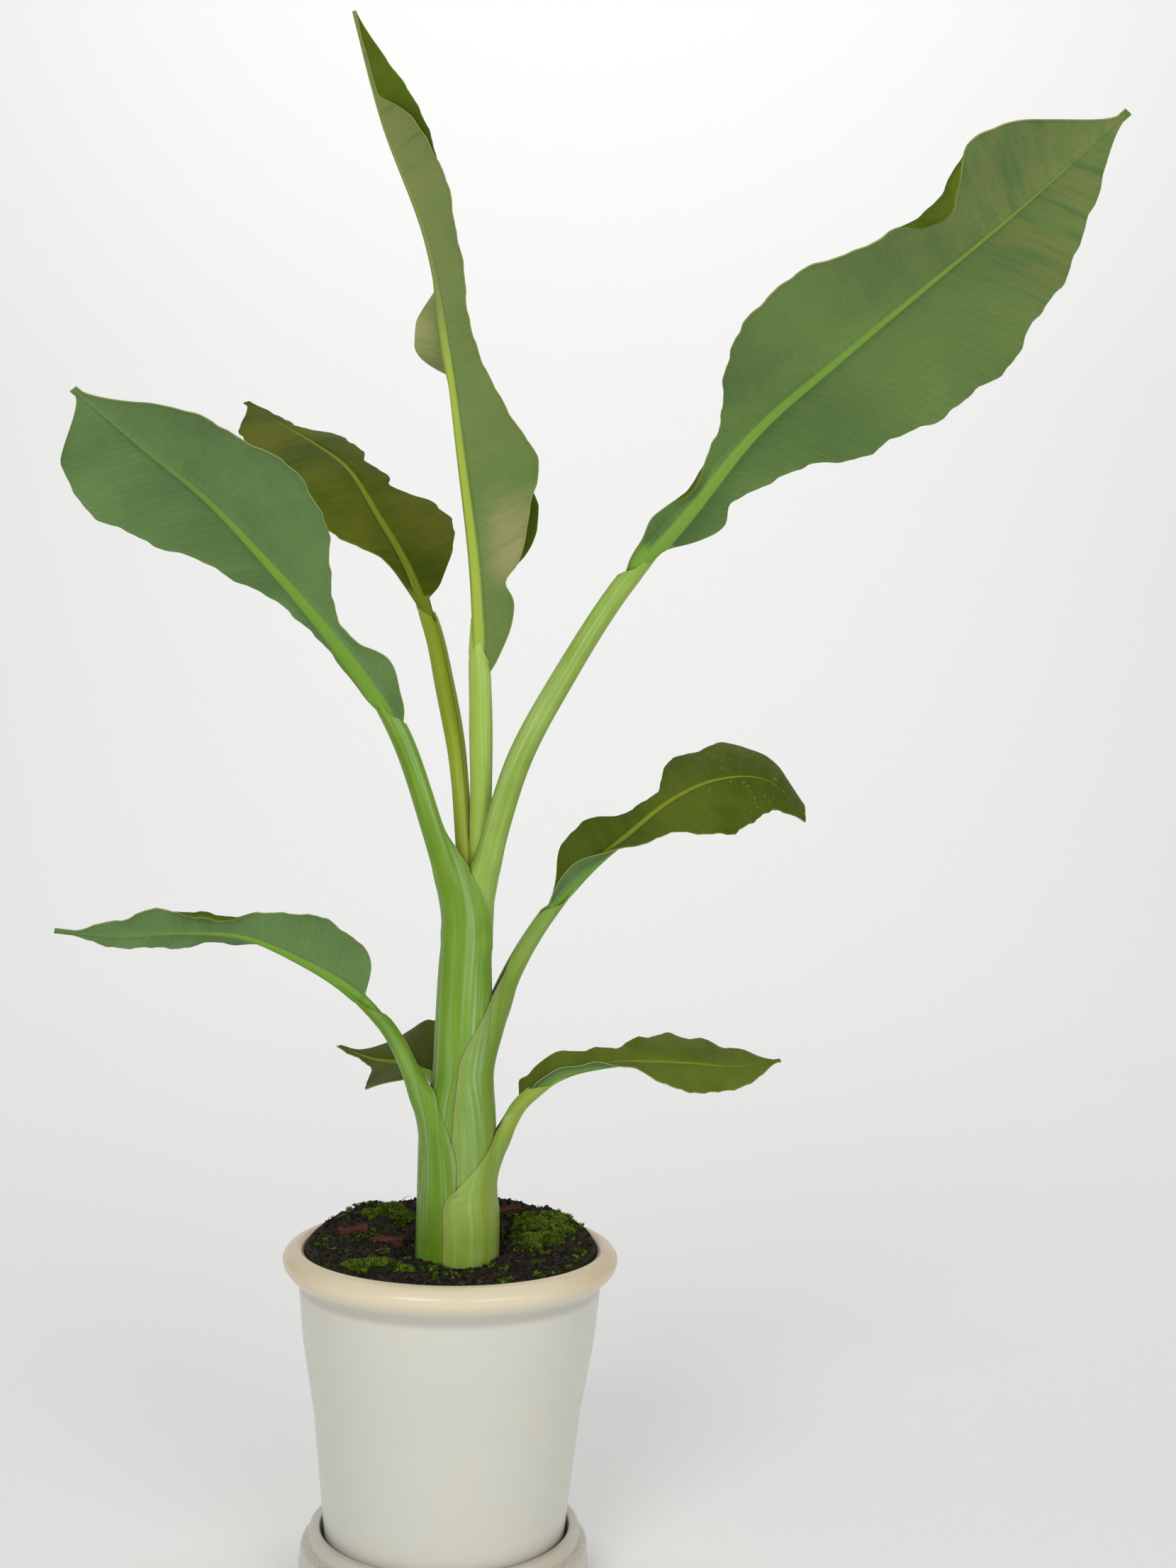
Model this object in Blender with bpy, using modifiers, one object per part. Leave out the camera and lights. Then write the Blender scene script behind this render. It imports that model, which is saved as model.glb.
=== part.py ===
"""Young dwarf banana plant: a sheathed stem and eight leaves in a glazed pot with a rolled rim, on a stepped saucer.

Metres, +Z up. The origin is the middle of the saucer's underside. Each leaf is a stalk and a blade.
"""

import math

import bmesh
import bpy
import numpy as np

PART = "chinese_dwarf_banana"
GAP = 0.0003
BLADE_FOOT_GAP = 0.0005
TURN_STEPS = 48

# saucer: half widths and heights of its steps
SAUCER_FOOT_R = 0.0925
SAUCER_WALL_R = 0.0940
SAUCER_SHOULDER_Z = 0.0255
SAUCER_RING_R = 0.0888
SAUCER_RING_TOP_Z = 0.0355
SAUCER_BORE_R = 0.0804
SAUCER_FLOOR_Z = 0.0120

# pot
POT_Z = SAUCER_FLOOR_Z + GAP
POT_FOOT_R = 0.0770
POT_NECK_R = 0.0985
POT_NECK_Z = 0.1915
RIM_R = 0.1098
RIM_MID_Z = 0.2105
RIM_TOP_Z = 0.2185
MOUTH_R = 0.0964
POT_FLOOR_Z = 0.0240
POT_FLOOR_R = 0.0690
MOUTH_WALL_Z = 0.1950
MOUTH_WALL_R = 0.0925

# soil, moss and bark
SOIL_CLEAR_R = GAP
SOIL_EDGE_Z = 0.2135
SOIL_HOLLOW = 0.0050
SOIL_BACK_RISE = 0.0080
SEAT_Z = 0.2045
SEAT_R = 0.0215

# stem: height, half width and sideways lean of each ring, from the seat to the top
STEM_RINGS = (
    (SEAT_Z + GAP, 0.0190, 0.0035),
    (0.2085, 0.0232, 0.0035),
    (0.2140, 0.0265, 0.0035),
    (0.2220, 0.0281, 0.0035),
    (0.2550, 0.0276, 0.0032),
    (0.2900, 0.0262, 0.0028),
    (0.3100, 0.0238, 0.0036),
    (0.3300, 0.0208, 0.0050),
    (0.3600, 0.0197, 0.0050),
    (0.4300, 0.0168, 0.0050),
    (0.4780, 0.0148, 0.0075),
    (0.5190, 0.0134, 0.0085),
)
STEM_SIDES = 28
STEM_TOP_Z = STEM_RINGS[-1][0]

# leaf: bearing of the blade in degrees, rib points from the stem outward, number of points in the stalk,
# half widths of the stalk from its foot to its tip, half widths of the blade on each side at even steps,
# and how far each half is lifted from the level, in degrees
LEAVES = {
    "back_low": dict(
        bearing=135.0,
        points=(
            (0.003, 0.004, 0.285),
            (-0.005, 0.020, 0.310),
            (-0.018, 0.036, 0.323),
            (-0.040, 0.062, 0.327),
            (-0.066, 0.092, 0.325),
            (-0.094, 0.126, 0.328),
        ),
        stalk_points=3,
        stalk_half=(0.0070, 0.0060, 0.0055),
        left=(8, 30, 30, 17, 6, 4, 2),
        right=(8, 14, 22, 30, 17, 5, 2),
        lift_left=(-10, -25, -30, -10),
        lift_right=(40, 45, 30, 10),
    ),
    "low_left": dict(
        bearing=203.0,
        points=(
            (0.002, -0.002, 0.250),
            (-0.014, -0.007, 0.294),
            (-0.029, -0.014, 0.335),
            (-0.045, -0.021, 0.365),
            (-0.070, -0.032, 0.390),
            (-0.100, -0.045, 0.409),
            (-0.132, -0.058, 0.423),
            (-0.167, -0.073, 0.426),
            (-0.202, -0.088, 0.424),
            (-0.237, -0.103, 0.428),
        ),
        stalk_points=4,
        stalk_half=(0.0115, 0.0078, 0.0057),
        left=(6, 14, 28, 32, 30, 18, 13, 16, 18, 12, 2),
        right=(6, 14, 26, 30, 28, 18, 12, 14, 10, 8, 2),
        lift_left=(70, 65, 60, 50),
        lift_right=(10, 5, -50, -60),
    ),
    "low_right": dict(
        bearing=15.0,
        points=(
            (0.008, -0.004, 0.245),
            (0.025, 0.003, 0.275),
            (0.036, 0.008, 0.298),
            (0.046, 0.010, 0.313),
            (0.070, 0.017, 0.330),
            (0.099, 0.025, 0.336),
            (0.129, 0.033, 0.337),
            (0.160, 0.041, 0.335),
            (0.190, 0.049, 0.332),
            (0.220, 0.057, 0.336),
        ),
        stalk_points=4,
        stalk_half=(0.0110, 0.0070, 0.0055),
        left=(6, 16, 18, 15, 16, 26, 34, 36, 33, 22, 2),
        right=(6, 9, 10, 11, 13, 20, 25, 24, 20, 13, 2),
        lift_left=(40, 35, 32, 28, 22, 20, 20),
        lift_right=(50, 30, 5, -30, -45, -42, -30),
    ),
    "mid_right": dict(
        bearing=30.0,
        points=(
            (0.008, -0.002, 0.320),
            (0.021, 0.006, 0.352),
            (0.033, 0.014, 0.392),
            (0.054, 0.027, 0.430),
            (0.080, 0.042, 0.462),
            (0.109, 0.059, 0.488),
            (0.141, 0.078, 0.514),
            (0.175, 0.098, 0.529),
            (0.212, 0.119, 0.529),
            (0.242, 0.136, 0.505),
        ),
        stalk_points=4,
        stalk_half=(0.0105, 0.0080, 0.0062),
        left=(6, 10, 28, 33, 16, 13, 34, 38, 42, 32, 12),
        right=(6, 16, 20, 18, 20, 30, 44, 46, 40, 32, 12),
        lift_left=(40, 30, 30, 45),
        lift_right=(60, 45, -20, -52, -58, -58, -50),
    ),
    "upper_left": dict(
        bearing=222.0,
        points=(
            (0.005, -0.003, 0.400),
            (-0.001, -0.010, 0.436),
            (-0.017, -0.024, 0.492),
            (-0.037, -0.042, 0.551),
            (-0.060, -0.063, 0.589),
            (-0.086, -0.087, 0.623),
            (-0.114, -0.112, 0.655),
            (-0.143, -0.139, 0.685),
            (-0.175, -0.167, 0.710),
            (-0.207, -0.195, 0.736),
        ),
        stalk_points=4,
        stalk_half=(0.0098, 0.0076, 0.0066),
        left=(7, 14, 22, 12, 13, 32, 50, 60, 64, 52, 48, 24, 3),
        right=(7, 9, 10, 10, 12, 18, 28, 40, 52, 58, 54, 38, 3),
        lift_left=(30, 25, 20, 20),
        lift_right=(-20, -25, -30, -30),
    ),
    "back_left": dict(
        bearing=130.0,
        points=(
            (-0.0015, 0.0030, STEM_TOP_Z + GAP),
            (-0.006, 0.012, 0.548),
            (-0.015, 0.026, 0.586),
            (-0.026, 0.040, 0.627),
            (-0.046, 0.065, 0.672),
            (-0.071, 0.094, 0.711),
            (-0.097, 0.126, 0.748),
            (-0.129, 0.163, 0.773),
            (-0.161, 0.202, 0.794),
            (-0.194, 0.241, 0.817),
        ),
        stalk_points=4,
        stalk_half=(0.0060, 0.0070, 0.0064),
        left=(7, 9, 16, 37, 44, 48, 46, 42, 36, 26, 3),
        right=(7, 16, 38, 52, 30, 23, 24, 26, 8, 8, 3),
        lift_left=(-10, -25, -30, -30),
        lift_right=(15, 15, 15, 15),
    ),
    "top": dict(
        bearing=240.0,
        points=(
            (0.0125, -0.0030, STEM_TOP_Z + GAP),
            (0.0115, -0.003, 0.553),
            (0.010, -0.004, 0.590),
            (0.005, -0.011, 0.661),
            (-0.004, -0.026, 0.729),
            (-0.014, -0.042, 0.798),
            (-0.027, -0.062, 0.862),
            (-0.052, -0.090, 0.923),
            (-0.066, -0.133, 0.973),
        ),
        stalk_points=3,
        stalk_half=(0.0074, 0.0080, 0.0076),
        left=(8, 24, 31, 43, 52, 34, 21, 19, 22, 26, 21, 3, 2),
        right=(8, 14, 32, 46, 34, 22, 20, 16, 16, 22, 25, 14, 2),
        lift_left=(10, 10, 10, 10),
        lift_right=(60, 110, 120, 105, 40, 100, 115, 110, 60),
    ),
    "upper_right": dict(
        bearing=-38.0,
        points=(
            (0.012, -0.003, 0.440),
            (0.020, -0.009, 0.479),
            (0.038, -0.023, 0.539),
            (0.067, -0.045, 0.594),
            (0.100, -0.070, 0.646),
            (0.138, -0.100, 0.690),
            (0.176, -0.129, 0.736),
            (0.219, -0.164, 0.771),
            (0.264, -0.198, 0.806),
            (0.308, -0.233, 0.840),
            (0.351, -0.267, 0.877),
        ),
        stalk_points=5,
        stalk_half=(0.0092, 0.0086, 0.0073),
        left=(8, 8, 27, 26, 42, 60, 68, 74, 73, 60, 46, 24, 3),
        right=(8, 11, 13, 13, 28, 56, 76, 77, 58, 60, 76, 62, 3),
        lift_left=(-20, -35, -35, -35),
        lift_right=(20, 10, 5, 5),
    ),
}
STALK_SIDES = 12
STALK_RINGS = 9
STALK_DEPTH = 0.85
BLADE_STEPS = 24
BLADE_COLUMNS = (-1.0, -0.66, -0.3, 0.0, 0.3, 0.66, 1.0)
BLADE_THIN = 1 / 92
RIB_THICK = 1.25
WIDTH_UNIT = 0.001


def smooth(values, where):
    """Value of a smooth curve through evenly spaced values, where is 0 to 1."""
    values = np.asarray(values, float)
    if values.ndim == 1:
        values = values[:, None]
    last = len(values) - 1
    u = np.clip(np.asarray(where, float), 0, 1) * last
    i = np.clip(np.floor(u).astype(int), 0, last - 1)
    f = (u - i)[:, None]
    a = values[np.clip(i - 1, 0, last)]
    b = values[i]
    c = values[i + 1]
    d = values[np.clip(i + 2, 0, last)]
    return b + 0.5 * f * (c - a + f * (2 * a - 5 * b + 4 * c - d + f * (3 * (b - c) + d - a)))


def rib_line(points, start, end, count):
    """Evenly spaced points from one numbered rib point to another, and the line's directions there."""
    dense = np.linspace(0, 1, 40 * len(points))
    line = smooth(points, dense)
    length = np.concatenate([[0], np.cumsum(np.linalg.norm(np.diff(line, axis=0), axis=1))])
    last = len(points) - 1
    reach = np.linspace(np.interp(start / last, dense, length), np.interp(end / last, dense, length), count)
    place = np.stack([np.interp(reach, length, line[:, k]) for k in range(3)], axis=1)
    slope = np.gradient(line, axis=0)
    heading = np.stack([np.interp(reach, length, slope[:, k]) for k in range(3)], axis=1)
    heading /= np.linalg.norm(heading, axis=1)[:, None]
    return place, heading, reach[-1] - reach[0]


def frames(heading, bearing):
    """Left-hand and upper directions of a leaf along its rib."""
    turn = math.radians(bearing)
    left = np.array([-math.sin(turn), math.cos(turn), 0.0])
    upper = np.cross(heading, left)
    upper /= np.linalg.norm(upper, axis=1)[:, None]
    return np.cross(upper, heading), upper


def mesh_object(name, verts, faces):
    mesh = bpy.data.meshes.new(name)
    mesh.from_pydata([tuple(v) for v in verts], [], faces)
    mesh.update()
    obj = bpy.data.objects.new(name, mesh)
    parts.objects.link(obj)
    return obj


def loft(name, rings):
    """Closed body through rings of equal point count, with flat ends."""
    count = len(rings[0])
    verts = [p for ring in rings for p in ring]
    faces = [tuple(reversed(range(count)))]
    for k in range(len(rings) - 1):
        for j in range(count):
            n = (j + 1) % count
            faces.append((k * count + j, k * count + n, (k + 1) * count + n, (k + 1) * count + j))
    faces.append(tuple((len(rings) - 1) * count + j for j in range(count)))
    return mesh_object(name, verts, faces)


def turned(name, profile, steps=TURN_STEPS):
    """Body turned about the Z axis from a profile that runs down its outer side."""
    mesh = bpy.data.meshes.new(name)
    mesh.from_pydata([(r, 0, z) for r, z in profile], [(k, k + 1) for k in range(len(profile) - 1)], [])
    obj = bpy.data.objects.new(name, mesh)
    parts.objects.link(obj)
    screw = obj.modifiers.new("turn", "SCREW")
    screw.steps = steps
    screw.render_steps = steps
    screw.use_merge_vertices = True
    screw.merge_threshold = 0.00005
    return applied(obj)


def applied(obj):
    """The object with its modifiers worked into its mesh."""
    graph = bpy.context.evaluated_depsgraph_get()
    mesh = bpy.data.meshes.new_from_object(obj.evaluated_get(graph))
    obj.modifiers.clear()
    obj.data = mesh
    return obj


def cut(obj, tool, solver="EXACT"):
    """Cut a tool's shape out of an object."""
    step = obj.modifiers.new("cut", "BOOLEAN")
    step.operation = "DIFFERENCE"
    step.solver = solver
    step.object = tool
    return applied(obj)


def as_cutter(obj):
    parts.objects.unlink(obj)
    cutters.objects.link(obj)
    obj.hide_render = True
    obj.display_type = "WIRE"
    return obj


def painted(obj, name, colour, roughness):
    material = bpy.data.materials.get(name) or bpy.data.materials.new(name)
    material.use_nodes = True
    shader = material.node_tree.nodes["Principled BSDF"]
    shader.inputs["Base Color"].default_value = (*colour, 1.0)
    shader.inputs["Roughness"].default_value = roughness
    obj.data.materials.clear()
    obj.data.materials.append(material)
    return obj


def saucer():
    profile = (
        (0, SAUCER_FLOOR_Z),
        (SAUCER_BORE_R, SAUCER_FLOOR_Z),
        (SAUCER_BORE_R + 0.0002, SAUCER_RING_TOP_Z - 0.001),
        (SAUCER_BORE_R + 0.0012, SAUCER_RING_TOP_Z),
        (SAUCER_RING_R - 0.002, SAUCER_RING_TOP_Z),
        (SAUCER_RING_R, SAUCER_RING_TOP_Z - 0.002),
        (SAUCER_RING_R, SAUCER_SHOULDER_Z + 0.002),
        (SAUCER_WALL_R - 0.001, SAUCER_SHOULDER_Z),
        (SAUCER_WALL_R, SAUCER_SHOULDER_Z - 0.002),
        (SAUCER_WALL_R + 0.001, 0.008),
        (SAUCER_FOOT_R, 0),
        (0, 0),
    )
    return turned("saucer", profile)


def pot_wall(z):
    """Half width of the pot's inside at a height."""
    return np.interp(z, (POT_FLOOR_Z, MOUTH_WALL_Z), (POT_FLOOR_R, MOUTH_WALL_R))


def pot():
    profile = (
        (0, POT_FLOOR_Z),
        (POT_FLOOR_R, POT_FLOOR_Z),
        (MOUTH_WALL_R, MOUTH_WALL_Z),
        (MOUTH_R - 0.0015, RIM_MID_Z),
        (MOUTH_R, RIM_TOP_Z - 0.0030),
        (MOUTH_R + 0.0030, RIM_TOP_Z - 0.0004),
        (MOUTH_R + 0.0060, RIM_TOP_Z),
        (RIM_R - 0.0035, RIM_TOP_Z - 0.0018),
        (RIM_R - 0.0006, RIM_TOP_Z - 0.0055),
        (RIM_R, RIM_MID_Z),
        (RIM_R - 0.0012, RIM_MID_Z - 0.0042),
        (RIM_R - 0.0045, RIM_MID_Z - 0.0085),
        (POT_NECK_R + 0.0025, RIM_MID_Z - 0.0125),
        (POT_NECK_R, POT_NECK_Z - 0.0010),
        (0.0957, 0.1590),
        (0.0875, 0.1110),
        (POT_FOOT_R + 0.0020, POT_Z + 0.0200),
        (POT_FOOT_R, POT_Z + 0.0020),
        (POT_FOOT_R - 0.0020, POT_Z),
        (0, POT_Z),
    )
    return turned("pot", profile)


def mound(x, y, middle, height, spread):
    return height * math.exp(-((x - middle[0]) ** 2 + (y - middle[1]) ** 2) / spread**2)


def ground(x, y):
    """Height of the soil's surface."""
    r = math.hypot(x, y)
    away = min(1.0, max(0.0, (math.hypot(x - STEM_RINGS[0][2], y) - SEAT_R - 0.003) / 0.02))
    z = SOIL_EDGE_Z - SOIL_HOLLOW * math.exp(-((r / 0.045) ** 2))
    z += SOIL_BACK_RISE * min(1.0, max(0.0, (y + 0.01) / 0.07))
    z += mound(x, y, (0.0, 0.065), 0.007, 0.035)
    z += mound(x, y, (-0.055, 0.03), 0.003, 0.025)
    z += mound(x, y, (0.06, 0.01), 0.003, 0.025)
    edge = min(1.0, max(0.0, (0.0945 - r) / 0.008))
    z = SOIL_EDGE_Z - 0.002 + (z - SOIL_EDGE_Z + 0.002) * edge
    return SEAT_Z + (z - SEAT_Z) * away**0.7


def soil(name="soil", lift=0.0):
    """Body of soil; its top is lifted evenly where it is used as a cutter."""
    top = (0.0, SEAT_R, SEAT_R + 0.006, 0.036, 0.045, 0.055, 0.065, 0.075, 0.082, 0.088)
    wall_top = SOIL_EDGE_Z - 0.002
    edge = pot_wall(MOUTH_WALL_Z) + (wall_top - MOUTH_WALL_Z) * 0.15 - SOIL_CLEAR_R
    profile = [(r, wall_top) for r in top]
    profile.append((edge, wall_top))
    profile.append((pot_wall(MOUTH_WALL_Z) - SOIL_CLEAR_R, MOUTH_WALL_Z))
    profile.append((pot_wall(POT_FLOOR_Z) - SOIL_CLEAR_R, POT_FLOOR_Z + GAP))
    profile.append((0, POT_FLOOR_Z + GAP))
    obj = turned(name, profile)
    for v in obj.data.vertices:
        if v.co.z > MOUTH_WALL_Z + 0.001:
            v.co.x += STEM_RINGS[0][2] * max(0.0, 1 - math.hypot(v.co.x, v.co.y) / 0.08)
            v.co.z = ground(v.co.x, v.co.y) + lift
    return obj


def pad(name, x, y, size, height, sink, turn=0.0):
    """Low cushion lying on the soil."""
    bm = bmesh.new()
    bmesh.ops.create_icosphere(bm, subdivisions=2, radius=1.0)
    c, s = math.cos(turn), math.sin(turn)
    base = ground(x, y) - sink
    for v in bm.verts:
        px = v.co.x * size[0]
        py = v.co.y * size[1]
        v.co = (x + px * c - py * s, y + px * s + py * c, base + v.co.z * height)
    mesh = bpy.data.meshes.new(name)
    bm.to_mesh(mesh)
    bm.free()
    obj = bpy.data.objects.new(name, mesh)
    parts.objects.link(obj)
    return obj


def chip(name, x, y, size, turn, tilt):
    """Small slab of bark lying on the soil."""
    bm = bmesh.new()
    bmesh.ops.create_cube(bm, size=1.0)
    c, s = math.cos(turn), math.sin(turn)
    base = ground(x, y) + size[2] * 0.1
    for v in bm.verts:
        px = v.co.x * size[0] * (1.0 if v.co.y > 0 else 0.75)
        py = v.co.y * size[1]
        pz = v.co.z * size[2] + px * math.tan(tilt)
        v.co = (x + px * c - py * s, y + px * s + py * c, base + pz)
    mesh = bpy.data.meshes.new(name)
    bm.to_mesh(mesh)
    bm.free()
    obj = bpy.data.objects.new(name, mesh)
    parts.objects.link(obj)
    return obj


def stem(name="stem", grow=0.0):
    """Tapering stem with a flat foot and a flat top."""
    rings = []
    for z, half, lean in STEM_RINGS:
        turns = np.arange(STEM_SIDES) * 2 * math.pi / STEM_SIDES
        reach = half + grow
        rings.append(np.stack([lean + reach * np.cos(turns), reach * np.sin(turns), 0 * turns + z], axis=1))
    if grow:
        rings[0][:, 2] -= 0.01
        rings[-1][:, 2] += GAP
    return loft(name, rings)


def stalk(name, leaf):
    """Leaf stalk from the stem to the foot of its blade."""
    last = leaf["stalk_points"] - 1
    place, heading, _ = rib_line(leaf["points"], 0, last, STALK_RINGS)
    side, upper = frames(heading, leaf["bearing"])
    half = smooth(leaf["stalk_half"], np.linspace(0, 1, STALK_RINGS))[:, 0]
    on_top = leaf["points"][0][2] >= STEM_TOP_Z
    rings = []
    for k in range(STALK_RINGS):
        turns = np.arange(STALK_SIDES) * 2 * math.pi / STALK_SIDES
        across = side[k] * half[k]
        deep = upper[k] * half[k] * STALK_DEPTH
        ring = place[k] + np.outer(np.cos(turns), across) + np.outer(np.sin(turns), deep)
        if on_top and k == 0:
            ring[:, 2] = place[0][2]
        rings.append(ring)
    rings[-1] = rings[-1] - heading[-1] * BLADE_FOOT_GAP
    return loft(name, rings)


def blade_surface(leaf, steps, columns):
    """Middle surface of a blade as rows of points from its foot to its tip, and its length."""
    first = leaf["stalk_points"] - 1
    place, heading, length = rib_line(leaf["points"], first, len(leaf["points"]) - 1, steps)
    side, upper = frames(heading, leaf["bearing"])
    along = np.linspace(0, 1, steps)
    rows = np.zeros((steps, len(columns), 3))
    for sign, widths, lifts in ((1, "left", "lift_left"), (-1, "right", "lift_right")):
        width = smooth(leaf[widths], along)[:, 0] * WIDTH_UNIT
        lift = np.radians(smooth(leaf[lifts], along)[:, 0])
        out = side * (sign * np.cos(lift))[:, None] + upper * np.sin(lift)[:, None]
        for j, t in enumerate(columns):
            if t * sign > 0 or (t == 0 and sign > 0):
                rows[:, j] = place + out * (width * abs(t))[:, None]
    return rows, length


def blade(name, leaf):
    """Leaf blade, thick along its rib and thin toward its margins."""
    rows, length = blade_surface(leaf, BLADE_STEPS, BLADE_COLUMNS)
    count = len(BLADE_COLUMNS)
    bm = bmesh.new()
    bmesh.ops.create_grid(bm, x_segments=count - 1, y_segments=BLADE_STEPS - 1, size=1.0)
    bm.verts.ensure_lookup_table()
    mesh = bpy.data.meshes.new(name)
    for v in bm.verts:
        j = round((v.co.x + 1) / 2 * (count - 1))
        k = round((v.co.y + 1) / 2 * (BLADE_STEPS - 1))
        v.co = rows[k, j]
    bm.to_mesh(mesh)
    bm.free()
    obj = bpy.data.objects.new(name, mesh)
    parts.objects.link(obj)
    thin = length * BLADE_THIN
    rib = max(thin, leaf["stalk_half"][-1] * RIB_THICK)
    group = obj.vertex_groups.new(name="rib")
    middle = count // 2
    flat = rows.reshape(-1, 3)
    for v in mesh.vertices:
        n = int(np.argmin(np.linalg.norm(flat - np.array(v.co), axis=1)))
        k, j = divmod(n, count)
        share = 1 - k / (BLADE_STEPS - 1)
        group.add([v.index], share if j == middle else 0.0, "REPLACE")
    shell = obj.modifiers.new("thickness", "SOLIDIFY")
    shell.thickness = rib
    shell.offset = 0.0
    shell.vertex_group = "rib"
    shell.thickness_vertex_group = thin / rib
    return applied(obj)


def outward(obj):
    """Turn the faces of a closed body outward."""
    bm = bmesh.new()
    bm.from_mesh(obj.data)
    bmesh.ops.triangulate(bm, faces=bm.faces)
    if bm.calc_volume(signed=True) < 0:
        bmesh.ops.reverse_faces(bm, faces=bm.faces)
    bm.to_mesh(obj.data)
    bm.free()
    return obj


def build():
    painted(outward(saucer()), "saucer_glaze", (0.80, 0.76, 0.68), 0.35)
    painted(outward(pot()), "pot_glaze", (0.82, 0.79, 0.71), 0.35)
    painted(outward(soil()), "soil", (0.06, 0.045, 0.035), 0.95)
    lifted = as_cutter(outward(soil("soil_cutter", GAP)))
    pads = (
        ("moss_right", 0.0610, 0.0300, (0.0190, 0.0300), 0.0065, 0.0015),
        ("moss_left", -0.0500, 0.0520, (0.0180, 0.0160), 0.0055, 0.0012),
        ("moss_front", -0.0450, -0.0520, (0.0200, 0.0120), 0.0045, 0.0012),
    )
    for name, x, y, size, height, sink in pads:
        painted(outward(cut(pad(name, x, y, size, height, sink), lifted)), "moss", (0.12, 0.22, 0.03), 0.9)
    chips = (
        ("bark_left", -0.0680, 0.0200, (0.0200, 0.0120, 0.0060), 0.3, 0.1),
        ("bark_inner", -0.0420, 0.0100, (0.0200, 0.0090, 0.0050), -0.2, 0.0),
        ("bark_back", 0.0330, 0.0600, (0.0180, 0.0100, 0.0060), 0.5, 0.1),
    )
    for name, x, y, size, turn, tilt in chips:
        painted(outward(cut(chip(name, x, y, size, turn, tilt), lifted)), "bark", (0.20, 0.07, 0.05), 0.9)
    painted(outward(stem()), "stem", (0.28, 0.45, 0.10), 0.5)
    grown = as_cutter(stem("stem_cutter", GAP))
    for name, leaf in LEAVES.items():
        limb = stalk(name + "_stalk", leaf)
        if leaf["points"][0][2] < STEM_TOP_Z:
            limb = cut(limb, grown)
        painted(outward(limb), "stalk", (0.30, 0.48, 0.12), 0.5)
        painted(outward(blade(name + "_blade", leaf)), "blade", (0.12, 0.28, 0.06), 0.45)


for old in list(bpy.data.objects):
    bpy.data.objects.remove(old, do_unlink=True)
parts = bpy.data.collections.new(PART)
cutters = bpy.data.collections.new("cutters")
bpy.context.scene.collection.children.link(parts)
bpy.context.scene.collection.children.link(cutters)
build()
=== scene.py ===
"""Young dwarf banana in a glazed pot on a stepped saucer: sheathed stem, eight leaves, soil, moss and bark.

Metres, +Z up. The origin is the middle of the saucer's underside.
"""

import math
from contextlib import contextmanager

import bmesh
import bpy
import numpy as np
from mathutils import Matrix, Vector, noise


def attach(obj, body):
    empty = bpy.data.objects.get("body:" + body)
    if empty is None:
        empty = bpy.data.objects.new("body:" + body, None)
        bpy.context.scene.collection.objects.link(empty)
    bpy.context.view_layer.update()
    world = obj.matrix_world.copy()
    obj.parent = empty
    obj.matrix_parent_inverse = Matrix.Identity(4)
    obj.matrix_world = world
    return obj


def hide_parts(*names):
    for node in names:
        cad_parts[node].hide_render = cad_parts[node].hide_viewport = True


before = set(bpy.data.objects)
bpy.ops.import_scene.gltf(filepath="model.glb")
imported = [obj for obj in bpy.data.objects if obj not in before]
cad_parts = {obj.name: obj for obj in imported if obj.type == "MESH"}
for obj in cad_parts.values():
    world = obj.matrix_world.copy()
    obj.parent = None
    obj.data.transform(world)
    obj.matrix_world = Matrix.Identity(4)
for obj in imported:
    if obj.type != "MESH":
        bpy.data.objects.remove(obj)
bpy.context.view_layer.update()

# camera: focal length for the tall side of the frame, place, pitch and roll
FOCAL_MM = 42.31
CAMERA_PLACE = (0.0826, -1.214, 0.530)
CAMERA_PITCH = math.radians(-0.3)
CAMERA_ROLL = math.radians(1.4)

# lights: name, place, target, size and power
LIGHTS = (
    ("key", (-0.9, -2.6, 1.5), (0, 0, 0.45), (1.3, 1.3), 34),
    ("fill", (1.5, -2.2, 0.9), (0, 0, 0.45), (1.3, 1.3), 20),
    ("backdrop", (0.0, 1.2, 3.6), (0, 4.2, 1.2), (4.0, 1.0), 60),
)
WORLD_LIGHT = 0.42

# saucer and pot
GAP = 0.0003
SAUCER_FOOT_R = 0.0925
SAUCER_WALL_R = 0.0940
SAUCER_SHOULDER_Z = 0.0255
SAUCER_RING_R = 0.0888
SAUCER_RING_TOP_Z = 0.0355
SAUCER_BORE_R = 0.0804
SAUCER_FLOOR_Z = 0.0120
POT_Z = SAUCER_FLOOR_Z + GAP
POT_FOOT_R = 0.0770
POT_NECK_R = 0.0985
POT_NECK_Z = 0.1915
RIM_R = 0.1098
RIM_MID_Z = 0.2105
RIM_TOP_Z = 0.2185
MOUTH_R = 0.0964
POT_FLOOR_Z = 0.0240
POT_FLOOR_R = 0.0690
MOUTH_WALL_Z = 0.1950
MOUTH_WALL_R = 0.0925
TURN_STEPS = 160

# soil: its surface, the seat of the stem in it, and its mounds and heaps (middle, height, spread)
SOIL_EDGE_Z = 0.2135
SOIL_HOLLOW = 0.0050
SOIL_BACK_RISE = 0.0080
SOIL_R = 0.0956
SEAT_Z = 0.2045
SEAT_R = 0.0215
SOIL_SPOKES = 150
SOIL_HOOPS = 57
PATCH_STEPS = 120
MOUNDS = (((0.0, 0.065), 0.007, 0.035), ((-0.055, 0.03), 0.003, 0.025), ((0.06, 0.01), 0.003, 0.025))
HEAPS = (
    ((-0.022, -0.021), 0.0042, 0.012),
    ((0.031, -0.014), 0.0040, 0.011),
    ((-0.012, -0.029), 0.0022, 0.006),
)
SIDE_RISE = 0.0035
CLOD_HEIGHT = 0.0026
CLODS_PER_METRE = 70

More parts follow.
